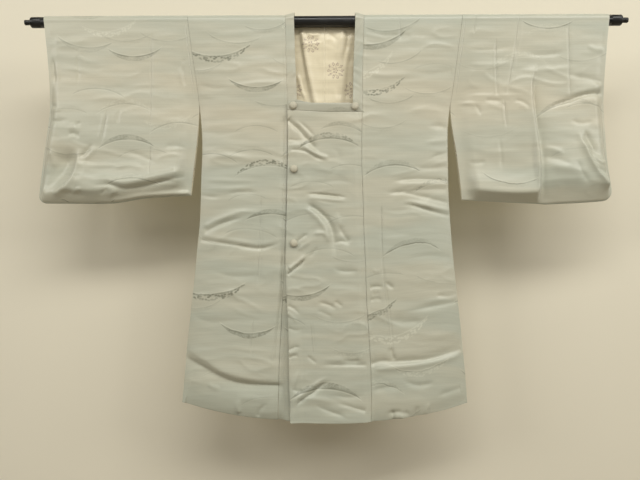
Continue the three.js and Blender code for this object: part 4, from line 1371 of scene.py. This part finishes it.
# ---- Pieces ----
FRONT_STEP, BACK_STEP = 3.3, 7.0  # between the rows of the body strips
ROUND_TOP = np.radians(np.linspace(0, 180, 17))  # rows over the pole, from its front to its back
BODY_COLUMNS, NECK_COLUMNS = 100, 30
SLEEVE_COLUMNS, SLEEVE_FRONT_ROWS, SLEEVE_BACK_ROWS, SLEEVE_BOTTOM_ROWS = 150, 132, 68, 13
LINING_ROWS, LINING_COLUMNS, LINING_NECK_COLUMNS = 190, 48, 34
SIDES = (("left", 1), ("right", -1))


def half_columns(neck, wide, first, height_at):
    """x and z across half the body, from the middle to the seam and on to the side, and which is the neck."""
    share = np.concatenate([neck, wide])[None, :]
    is_neck = (np.arange(share.shape[1]) < len(neck))[None, :]
    x = first + 0 * share
    for _ in range(4):
        z = height_at(x)
        edge = front_seam(z) + SEAM
        x = np.where(is_neck, mix(SEAM / 2, edge, share), mix(edge, side_edge(z), share))
    return x, height_at(x), is_neck


def body_points(sign):
    """Middle points of one side of the body, from the front hem over the pole to the back hem."""
    front = np.linspace(1, 0, int(-HEM_FRONT / FRONT_STEP))[:-1]
    top_back = NECK_BACK - SEAM
    back_first = top_back / HEM_BACK
    back = np.concatenate([[back_first], np.linspace(back_first + 0.005, 1, int(-HEM_BACK / BACK_STEP))])
    kind = np.repeat([0, 1, 2], [len(front), len(ROUND_TOP), len(back)])[:, None]
    value = np.concatenate([front, ROUND_TOP, back])[:, None]

    def height_at(x):
        backward = np.where(value <= back_first, top_back, value * hem_back(x))
        return np.select([kind == 0, kind == 1], [value * hem_front(x), HANG * np.sin(value)], backward)

    neck = np.linspace(0, 1, NECK_COLUMNS)[:-1]
    x, z, is_neck = half_columns(neck, spaced(BODY_COLUMNS), float(HEM_HALF), height_at)
    x = sign * x
    y = np.select([kind == 0, kind == 1], [-front_depth(x, z), -HANG * np.cos(value)], back_depth(x, z))
    keep = ~is_neck[:, :-1] | (kind[:-1] == 2)
    return drift(np.stack([x, y, z], axis=-1)), keep, len(front) + len(ROUND_TOP) // 2


class COAT_OT_body(bpy.types.Operator):
    """Make the two body strips, each from the front hem over the pole to the back hem"""

    bl_idname = "object.coat_body"
    bl_label = "Body"

    LINES = {
        "left": [
            ((133, -424), (135, -580), 2.0),
            ((136, -585), (158, -800), 1.8),
            ((176, 8), (178, -48), 2.0),
        ],
        "right": [
            ((-150, -412), (-152, -550), 2.0),
            ((-152, -545), (-158, -625), 1.8),
            ((-167, -708), (-174, -792), 1.9),
        ],
    }

    def execute(self, context):
        for side, sign in SIDES:
            points, keep, pole_row = body_points(sign)
            along = distance_down(points, pole_row)
            obj = cloth_wall(f"{side}_body_silk", points, CLOTH, along, keep, strips=2, facing=sign)
            cloth = silk(f"Silk {side} body", side, lines=self.LINES[side])
            finish_piece(obj, f"{side}_body", "cloth", cloth, lining_satin())
        return {"FINISHED"}


def pleat_height(x, z):
    """The pressed pleat: a slow rise to its line, then a sharp drop."""
    line = mix(PLEAT["x0"], PLEAT["x1"], clamp((z - PLEAT["z0"]) / (PLEAT["z1"] - PLEAT["z0"])))
    begin = smooth((PLEAT["z0"] - z) / 60)
    line = line - 12 * begin * (1 - smooth((-180 - z) / 140))
    before = line - x
    shape = np.where(before >= 0, clamp(1 - before / PLEAT["run"]) ** 1.5, clamp(1 + before / PLEAT["drop"]))
    return PLEAT["high"] * begin * shape


def sleeve_points(side):
    """Middle points of a sleeve: a loop over the pole and back along the bottom fold."""
    table = SLEEVES[side]
    sign, corner, edges = table["sign"], table["corner"], table["edges"]
    share = spaced(SLEEVE_COLUMNS, 0.3)[None, :]

    def inner_edge(z):
        return np.where(z > UNDERARM_Z, arm_seam(z), read(edges, "inner", z)) + SEAM / 2

    def place(z):
        return mix(inner_edge(z), read(edges, "cuff", z), share)

    width = read(edges, "cuff", -430) - inner_edge(-430)
    into = clamp((share - 1) * (width / corner) + 1)
    low = read(table["bottom"], "z", share, "across") + corner * (1 - np.sqrt(1 - into**2))
    end = low + BOTTOM_TURN

    def depth(face, z):
        is_front = face == "front"
        x = sign * place(z)
        inner = 1 - smooth(share / INNER_TURN)
        cuff = smooth((share - 1 + CUFF_TURN) / CUFF_TURN)
        middle = 1 - inner - cuff
        plain = inner * read(DEPTH, "inner", z) + cuff * read(DEPTH, "cuff", z)
        plain = plain + middle * read(DEPTH, "sleeve", z)
        uneven = crease_height(SLEEVE_CREASES[side, face], x, z)
        uneven = uneven + silk_rumple(x, z, SLEEVE_SEEDS[face] + sign)
        if is_front:
            uneven = uneven + table["full"] * smooth((-z - 120) / 200)
        if is_front and side == "left":
            uneven = uneven + pleat_height(x, z)
        full = smooth(middle * 1.6)
        whole = plain + uneven * smooth(-z / 40) * full
        least = np.minimum(plain, 1.7)
        whole = (whole + least + np.sqrt((whole - least) ** 2 + 0.3)) / 2 - 0.07
        rise = (z - end) / (read(table["tuck"], "high", share, "across") if is_front else 22)
        belly = table["belly"] if is_front else 1.5
        whole = whole + belly * np.exp(-((np.maximum(rise - 1, 0) / table["decay"]) ** 2)) * full
        turn = np.minimum(BOTTOM_TURN, plain)
        short = 1 - clamp(rise)
        under = 1 - np.sqrt(short**2 + 0.004) + 0.063 * short
        lip = read(table["lip"], "high", share, "across") if is_front else 0
        lip = lip * np.exp(-(((z - end - 3) / 5) ** 2)) * smooth(share / 0.04)
        return turn + (whole - turn) * under + lip

    level = 0 * share
    radius = depth("back", end)
    round_bottom = np.radians(np.linspace(0, 180, SLEEVE_BOTTOM_ROWS)[1:-1])
    down_back = np.linspace(0, 1, SLEEVE_BACK_ROWS)[1:]
    up_front = np.linspace(1, 0, SLEEVE_FRONT_ROWS)[:-1]
    grid = [(HANG * math.sin(turn) + level, -HANG * math.cos(turn) + level) for turn in ROUND_TOP]
    grid += [(down * end, depth("back", down * end)) for down in down_back]
    grid += [(end - BOTTOM_TURN * math.sin(turn), radius * math.cos(turn)) for turn in round_bottom]
    before = [(down * end, -depth("front", down * end)) for down in up_front]
    points = np.stack([np.concatenate([sign * place(z), y, z]).T for z, y in grid + before])
    return drift(points), len(ROUND_TOP) // 2, len(before)


class COAT_OT_sleeves(bpy.types.Operator):
    """Make the two sleeves"""

    bl_idname = "object.coat_sleeves"
    bl_label = "Sleeves"

    LINES = {
        "left": [
            ((457, 14), (447, -72), 2.0),
            ((447, -70), (427, -182), 2.0),
            ((357, 12), (350, -38), 2.0),
            ((402, -40), (404, -182), 1.9),
            ((421, -188), (427, -262), 2.0),
            ((571, 8), (574, -186), 1.7),
            ((332, 10), (307, -196), 1.9),
        ],
        "right": [
            ((-332, 10), (-306.5, -196), 1.9),
            ((-409, -20), (-410, -300), 1.6),
            ((-409, -290), (-411, -372), 1.8),
            ((-525, -296), (-513, -208), 2.0),
        ],
    }

    def execute(self, context):
        for side, sign in SIDES:
            points, pole_row, front_rows = sleeve_points(side)
            down = distance_down(np.concatenate([points, points[:1]]), pole_row)
            # the front side counts down from the pole, so that its figure and lines lie as on the body
            along = down.copy()
            along[len(points) - front_rows :] -= down[-1] - down[0]
            obj = cloth_wall(f"{side}_sleeve_silk", points, CLOTH, along, ring=True, strips=2, facing=sign)
            cloth = silk(f"Silk {side} sleeve", f"{side} sleeve", lines=self.LINES[side])
            finish_piece(obj, f"{side}_sleeve", "cloth", cloth, lining_satin())
        return {"FINISHED"}


def overlap_points(is_upper, columns, height):
    """Middle points of an overlap panel, from its free edge to its seam and from its band to the hem."""
    down = np.linspace(0, 1, height)[:, None]
    share = spaced(columns)[None, :]
    z = mix(NECK_FRONT, HEM_FRONT, down) + 0 * share
    for _ in range(4):
        seam = (1 if is_upper else -1) * (front_seam(z) - SEAM)
        x = mix(free_edge(z) if is_upper else LOWER_FREE, seam, share)
        top = top_edge(is_upper, x) - BAND_WIDTH - SEAM
        z = mix(top, hem_front(x) + (0 if is_upper else 2), down)
    return drift(np.stack([x, -overlap_depth(is_upper, x, z), z], axis=-1))


class COAT_OT_overlaps(bpy.types.Operator):
    """Make the two crossed front overlap panels"""

    bl_idname = "object.coat_overlaps"
    bl_label = "Front overlaps"

    LINES = [((-33, -712), (-25, -796), 1.6)]

    def execute(self, context):
        for is_upper, columns, height in ((True, 78, 290), (False, 44, 150)):
            name = "upper_overlap" if is_upper else "lower_overlap"
            points = overlap_points(is_upper, columns, height)
            obj = cloth_wall(f"{name}_silk", points, CLOTH, points[..., 2], facing=-1 if is_upper else 1)
            if is_upper:
                cloth = silk(f"Silk {name}", "overlap", lines=self.LINES)
            else:
                cloth = silk(f"Silk {name}", "right", (150, 0))
            finish_piece(obj, f"{name}_panel", "cloth", cloth, lining_satin())
        return {"FINISHED"}


FRONT_ROWS, OVER_ROWS, BEHIND_ROWS, BAND_COLUMNS = 60, 24, 51, 11  # of the collar
FACE_ROWS = 40  # the first of them, which look to the front and tell which way round the grid runs


def collar_strip(is_upper):
    """The free edge and the seam edge of the collar, up one front and over the pole."""
    sign = 1 if is_upper else -1
    up = np.linspace(0, 1, FRONT_ROWS)
    z_free = mix(top_edge(is_upper, sign * NECK_HALF_FRONT) + SEAM, 0, up)
    z_seam = mix(top_edge(is_upper, sign * front_seam(NECK_FRONT)) - BAND_WIDTH + SEAM, 0, up)

    def point(x, z):
        step = upper_step(x, z) * smooth((-150 - z) / 40) if is_upper else 0
        return np.stack([x, -front_depth(x, z) - step, z], axis=-1)

    angle = np.linspace(0, 180, OVER_ROWS + 1)[1:]
    turn = np.radians(angle)
    lift = BAND_HANG + COLLAR_LIFT * np.sin(turn / 2)
    rise = COLLAR_BACK_CORNER * smooth((angle - 90) / 90)
    x_over = np.full(len(turn), float(sign * NECK_HALF_TOP))
    y_over = -lift * np.cos(turn) * mix(1, 0.8, angle / 180)
    over_free = np.stack([x_over, y_over, np.maximum(lift * np.sin(turn), rise)], axis=-1)
    x_over = front_seam(BAND_HANG * np.sin(turn)) - SEAM / 2
    over_seam = np.stack([sign * x_over, -BAND_HANG * np.cos(turn), BAND_HANG * np.sin(turn)], axis=-1)
    free = point(sign * mix(NECK_HALF_FRONT, NECK_HALF_TOP, up), z_free)
    seam = point(sign * (front_seam(z_seam) - SEAM / 2), z_seam)
    return np.vstack([free, over_free]), np.vstack([seam, over_seam])


def collar_points():
    """Middle points of the neck collar, up one front, over the pole, round the back and down the other."""
    low_free, low_seam = collar_strip(False)
    high_free, high_seam = collar_strip(True)
    share = np.linspace(-1, 1, BEHIND_ROWS)
    level = np.ones(BEHIND_ROWS)
    rise = mix(COLLAR_BACK_TOP, COLLAR_BACK_CORNER - 2, share**4)
    corner = front_seam(NECK_BACK) - SEAM / 2
    back_free = np.stack([share * (NECK_HALF_TOP - 2), level * (HANG + 2.5), rise], axis=-1)
    back_seam = np.stack([share * corner, level * (HANG + 0.2), level * (NECK_BACK + SEAM)], axis=-1)
    free = np.vstack([low_free, back_free, high_free[::-1]])
    seam = np.vstack([low_seam, back_seam, high_seam[::-1]])
    for line in (free, seam):
        for _ in range(4):
            line[62:-62] = (line[61:-63] + 2 * line[62:-62] + line[63:-61]) / 4
    share = np.linspace(0, 1, BAND_COLUMNS)[None, :, None]
    return free[:, None] * (1 - share) + seam[:, None] * share


class COAT_OT_collar(bpy.types.Operator):
    """Make the neck collar and the bands along the tops of the overlap panels"""

    bl_idname = "object.coat_collar"
    bl_label = "Collar and bands"

    def execute(self, context):
        self.collar()
        self.band(True)
        self.band(False)
        return {"FINISHED"}

    def collar(self):
        points = collar_points()
        x, z = points[..., 0], points[..., 2]
        across = np.linspace(0, 1, BAND_COLUMNS)
        wave = 0.5 * rumple(z, x, 24, 60, COLLAR_SEED) * smooth((-z - 12) / 30)
        points[..., 1] -= wave * across[::-1]
        points = drift(points)
        normals = normals_of(points)
        facing = np.sign(-normals[:FACE_ROWS, :, 1].mean())
        points = points + normals * facing * 0.5 * np.sin(np.pi * across)[None, :, None] ** 0.8
        obj = cloth_wall("neck_collar_silk", points, BAND, distance_down(points, FRONT_ROWS), lined=False)
        # The collar's colour is made 4% darker: painted shade.
        finish_piece(obj, "neck_collar", "cloth", silk("Silk neck collar", "left", (-40, 20), 0.4, tone=0.96))

    def band(self, is_upper):
        name = "upper_overlap" if is_upper else "lower_overlap"
        start = free_edge(NECK_FRONT) if is_upper else LOWER_FREE
        share = spaced(72 if is_upper else 60)[None, :]
        down = np.linspace(0, 1, BAND_COLUMNS)[:, None]
        end = (1 if is_upper else -1) * (mix(NECK_HALF_FRONT, front_seam(NECK_FRONT), down) - SEAM)
        x = mix(start, end, share)
        z = top_edge(is_upper, x) - down * BAND_WIDTH
        fuller = 0.45 * np.sin(np.pi * down) ** 0.8 + 1.6 * (1 - down) ** 0.7
        points = drift(np.stack([x, -overlap_depth(is_upper, x, z) - fuller, z], axis=-1))
        obj = cloth_wall(f"{name}_band_silk", points, BAND, points[..., 2], lined=False)
        # The bands' colour is made 13% darker: painted shade.
        cloth = silk(f"Silk {name}_band", "overlap", (30, 60), 0.4, tone=0.87)
        finish_piece(obj, f"{name}_band", "cloth", cloth)


def lining_bulge(x, z):
    """How far the lining stands off the back below the neck."""
    b = LINING_BULGE
    down = clamp((z - b["top"]) / (b["bottom"] - b["top"]))
    half = np.where(x > 0, b["left"], b["right"]) * mix(1, b["narrow"], down)
    fade = smooth((LINING_TOP - z) / 30) * (1 - smooth((down - 0.6) / 0.4))
    return b["high"] * fade * smooth((half - np.abs(x)) / b["turn"] + 0.5)


class COAT_OT_lining(bpy.types.Operator):
    """Make the two halves of the back lining"""

    bl_idname = "object.coat_lining"
    bl_label = "Back lining"

    def execute(self, context):
        inside = CLOTH / 2 + SEAM + LINING / 2
        down = np.linspace(0, 1, LINING_ROWS)[:, None] ** 1.35

        def height_at(x):
            return mix(LINING_TOP, 0.95 * hem_back(x), down)

        neck, wide = np.linspace(0, 1, LINING_NECK_COLUMNS)[:-1], np.linspace(0, 8 / 9, LINING_COLUMNS)
        half, z, _ = half_columns(neck, wide, 200.0, height_at)
        for side, sign in SIDES:
            x = sign * half
            bulge = lining_bulge(x, z)
            own = crease_height(LINING_CREASES, x, z)
            own += 0.5 * silk_rumple(x, z, LINING_SEED) * smooth((110 - half) / 40)
            own = np.maximum(own, -bulge) + np.exp(-(((half - 2.8) / 1.5) ** 2))
            y = back_depth(x, z) - inside - bulge - own * smooth((LINING_TOP - z) / 14)
            points = drift(np.stack([x, y, z], axis=-1))
            obj = cloth_wall(f"{side}_back_lining_satin", points, LINING, points[..., 2], lined=False)
            finish_piece(obj, f"{side}_back_lining", "lining", lining_satin())
        return {"FINISHED"}


def turned(profile, segments):
    """A closed shape turned round the Y axis from radius, height pairs that start and end on the axis."""
    ring = np.linspace(0, 2 * np.pi, segments, endpoint=False)
    points = [(0, profile[0][1], 0)]
    for radius, height in profile[1:-1]:
        points += [(radius * math.cos(a), height, radius * math.sin(a)) for a in ring]
    points.append((0, profile[-1][1], 0))
    faces = [(0, 1 + (k + 1) % segments, 1 + k) for k in range(segments)]
    for r in range(len(profile) - 3):
        a, b = 1 + r * segments, 1 + (r + 1) * segments
        faces += [(a + k, a + (k + 1) % segments, b + (k + 1) % segments, b + k) for k in range(segments)]
    a = 1 + (len(profile) - 3) * segments
    faces += [(a + k, a + (k + 1) % segments, len(points) - 1) for k in range(segments)]
    return np.array(points, float), faces


class COAT_OT_buttons(bpy.types.Operator):
    """Make the four covered buttons"""

    bl_idname = "object.coat_buttons_make"
    bl_label = "Buttons"

    def execute(self, context):
        radius = context.scene.coat_buttons.radius / MM
        dome_rise = BUTTON_HEIGHT - BUTTON_RIM
        profile = [(0, 0), (radius - BUTTON_RIM - 1.4, 0), (radius - BUTTON_RIM, 0.15), (radius - 0.4, 0.5)]
        for turn in np.radians(np.linspace(0, 90, 15)):
            profile.append((radius * math.cos(turn), BUTTON_RIM + dome_rise * math.sin(turn) ** 0.9))
        near = np.linspace(-BUTTON_RADIUS, BUTTON_RADIUS, 7)
        for seed, (node, (at_x, at_z)) in enumerate(BUTTONS.items()):
            points, faces = turned(profile, 56)
            around = np.arctan2(points[:, 2], points[:, 0])
            away = np.hypot(points[:, 0], points[:, 2]) / radius
            pleats = 1 + 0.03 * np.sin(17 * around + seed) * np.exp(-(((away - 1) / 0.25) ** 2))
            dent = 1 + 0.012 * np.sin(2 * around + seed)
            points[:, [0, 2]] *= (pleats * dent)[:, None]
            gx, gz = np.meshgrid(at_x + near, at_z + near)
            inside = np.hypot(gx - at_x, gz - at_z) < BUTTON_RADIUS
            wall = BAND if at_z > NECK_FRONT - BAND_WIDTH else CLOTH
            seat = overlap_depth(True, gx, gz)[inside].max() + wall / 2 + BUTTON_SPACE
            centre = drift(np.array([[at_x, 0.0, at_z]]))[0]
            points = points * [1, -1, 1] + centre - [0, seat, 0]
            finish_piece(mesh_object(f"{node}_cover", points, faces), node, "button", button_silk())
        return {"FINISHED"}


class COAT_OT_pole(bpy.types.Operator):
    """Make the pole and the pegs at its ends"""

    bl_idname = "object.coat_pole_make"
    bl_label = "Pole"

    ROUND_END = 3.0
    GROOVE = ((0, 24), (0.35, 24.4), (0.35, 25.2), (0, 25.6))  # depth, distance from the end
    PEG = (  # depth below the peg's radius, distance from the pole
        (0.4, 0), (0, 0.4), (0, 4), (0.6, 4.5), (0.6, 5.6), (0, 6.1),
        (0, PEG_LENGTH - 1.2), (0.35, PEG_LENGTH - 0.35), (1.2, PEG_LENGTH),
    )

    def execute(self, context):
        end = POLE_HALF_LENGTH
        turns = np.radians(np.linspace(0, 90, 7))
        side = [(0, 0)]
        for turn in turns:
            depth = self.ROUND_END * (1 - math.sin(turn))
            side.append((POLE_RADIUS - depth, self.ROUND_END * (1 - math.cos(turn))))
        side += [(POLE_RADIUS - depth, back) for depth, back in self.GROOVE]
        middle = [(POLE_RADIUS, x) for x in np.linspace(-600, 600, 13)]
        profile = [(r, back - end) for r, back in side] + middle
        profile += [(r, end - back) for r, back in reversed(side)]
        points, faces = turned(profile, 72)
        finish_piece(mesh_object("pole_tube", points[:, [1, 0, 2]], faces), "pole", "pole", black_enamel())
        first = end + SEAM
        profile = [(PEG_RADIUS - depth, first + out) for depth, out in self.PEG]
        points, faces = turned([(0, first)] + profile + [(0, first + PEG_LENGTH)], 48)
        for side, sign in SIDES:
            places = points[:, [1, 0, 2]] * [sign, 1, 1]
            peg = mesh_object(f"{side}_peg_stud", places, [face[::sign] for face in faces])
            finish_piece(peg, f"{side}_peg", "pole", black_enamel())
        return {"FINISHED"}


# ---- Stage ----
def one_sided(name, colour):
    """Matt paint that shows only from the side that its surface faces."""
    material, nodes, shader = new_material(name)
    cloud = nodes.cloud(nodes.add("ShaderNodeTexCoord").outputs["Object"], 1.3)
    nodes.set(shader.inputs["Base Color"], nodes.tint(cloud, tuple(c * 0.94 for c in colour), tuple(colour)))
    shader.inputs["Roughness"].default_value = 0.85
    behind = nodes.add("ShaderNodeNewGeometry").outputs["Backfacing"]
    clear = nodes.add("ShaderNodeBsdfTransparent").outputs[0]
    both = nodes.add("ShaderNodeMixShader", {0: behind, 1: shader.outputs[0], 2: clear}).outputs[0]
    nodes.set(material.node_tree.nodes["Material Output"].inputs["Surface"], both)
    return material


# In metres.
FLOOR_Z, FLOOR_HALF = -1.62, 4
WALL_Y, WALL_HALF, WALL_TOP = 0.18, 2.4, 1.3
CAMERA_PLACE, CAMERA_AIM = (0.0075, -1.515, -0.5187), (-0.011, 0.0, -0.5187)
FOCAL, IMAGE_WIDTH = 638.3, 640  # pixels
SENSOR_WIDTH = 36
WARM = (1.0, 0.985, 0.93)
LIGHTS = (  # name, place, aim, size, share of the power
    ("Ceiling light", (0.6, -2.7, 2.45), (0, 0.1, -1.8), (4.6, 0.9), 1),
    ("Left light", (-2.6, -2.0, 0.8), (0, 0, -0.8), (1.4, 0.9), 0.25),
    ("Right light", (2.8, -2.0, 0.8), (0, 0, -0.8), (1.4, 0.9), 0.24),
    ("Front light", (0.4, -2.8, -0.35), (0, 0, -0.5), (4.4, 1.0), 0.065),
    ("Rear light", (0.4, 2.3, 1.5), (0, 0, -0.5), (2.6, 1.0), 0.21),
)


class COAT_OT_stage(bpy.types.Operator):
    """Make the floor, the backdrop, the lights and the camera"""

    bl_idname = "object.coat_stage_make"
    bl_label = "Stage"

    def plane(self, name, corners, material):
        mesh = bpy.data.meshes.new(name)
        mesh.from_pydata(corners, [], [(0, 1, 2, 3)])
        mesh.materials.append(material)
        obj = place_object(name, mesh)
        obj.visible_shadow = False

    def aimed(self, name, data, place, aim):
        obj = place_object(name, data)
        obj.location = place
        obj.rotation_euler = (Vector(aim) - Vector(place)).to_track_quat("-Z", "Y").to_euler()
        return obj

    def execute(self, context):
        scene, style = context.scene, context.scene.coat_stage
        far = FLOOR_HALF
        corners = [(x, y, FLOOR_Z) for x, y in ((-far, -far), (far, -far), (far, far), (-far, far))]
        self.plane("Floor", corners, one_sided("Floor paint", style.floor))
        if style.show_wall:
            far = WALL_HALF
            low, high = FLOOR_Z, WALL_TOP
            corners = [(x, WALL_Y, z) for x, z in ((-far, low), (far, low), (far, high), (-far, high))]
            self.plane("Backdrop", corners, one_sided("Wall paint", style.wall))
        for name, place, aim, size, share in LIGHTS:
            light = bpy.data.lights.new(name, "AREA")
            light.shape = "RECTANGLE"
            light.size, light.size_y = size
            light.energy = share * style.light
            light.color = WARM
            self.aimed(name, light, place, aim)
        world = bpy.data.worlds.new("Studio")
        world.use_nodes = True
        sky = Tree(world.node_tree)
        seen = sky.add("ShaderNodeLightPath").outputs["Is Camera Ray"]
        background = world.node_tree.nodes["Background"].inputs
        sky.set(background["Color"], srgb(240, 236, 226))
        sky.set(background["Strength"], sky.step(seen, 0.0, 1.0, style.fill, 0.72))
        scene.world = world
        scene.view_settings.view_transform = "Standard"
        camera = bpy.data.cameras.new("Camera")
        camera.sensor_width = SENSOR_WIDTH
        camera.lens = SENSOR_WIDTH * FOCAL / IMAGE_WIDTH
        scene.camera = self.aimed("Camera", camera, CAMERA_PLACE, CAMERA_AIM)
        return {"FINISHED"}


class COAT_PT_panel(bpy.types.Panel):
    """Lists the pieces of the coat"""

    bl_label = "Kimono Overcoat"
    bl_idname = "COAT_PT_panel"
    bl_space_type = "VIEW_3D"
    bl_region_type = "UI"
    bl_category = "Kimono"

    def draw(self, context):
        for group in SETTINGS:
            box = self.layout.box()
            settings = getattr(context.scene, group)
            for name in SETTINGS[group].__annotations__:
                box.prop(settings, name)
        for operator in OPERATORS:
            self.layout.operator(operator.bl_idname)


SETTINGS = {
    "coat_silk": CoatSilk,
    "coat_lining": CoatLining,
    "coat_buttons": CoatButtons,
    "coat_pole": CoatPole,
    "coat_stage": CoatStage,
}
OPERATORS = (
    COAT_OT_body,
    COAT_OT_sleeves,
    COAT_OT_overlaps,
    COAT_OT_collar,
    COAT_OT_lining,
    COAT_OT_buttons,
    COAT_OT_pole,
    COAT_OT_stage,
)


def register():
    for group in SETTINGS.values():
        bpy.utils.register_class(group)
    for name, group in SETTINGS.items():
        setattr(bpy.types.Scene, name, PointerProperty(type=group))
    for operator in OPERATORS:
        bpy.utils.register_class(operator)
    bpy.utils.register_class(COAT_PT_panel)


def unregister():
    bpy.utils.unregister_class(COAT_PT_panel)
    for operator in reversed(OPERATORS):
        bpy.utils.unregister_class(operator)
    for name, group in SETTINGS.items():
        delattr(bpy.types.Scene, name)
        bpy.utils.unregister_class(group)


def main():
    register()
    bpy.ops.object.coat_body()
    bpy.ops.object.coat_sleeves()
    bpy.ops.object.coat_overlaps()
    bpy.ops.object.coat_collar()
    bpy.ops.object.coat_lining()
    bpy.ops.object.coat_buttons_make()
    bpy.ops.object.coat_pole_make()
    bpy.ops.object.coat_stage_make()


if __name__ == "__main__":
    main()
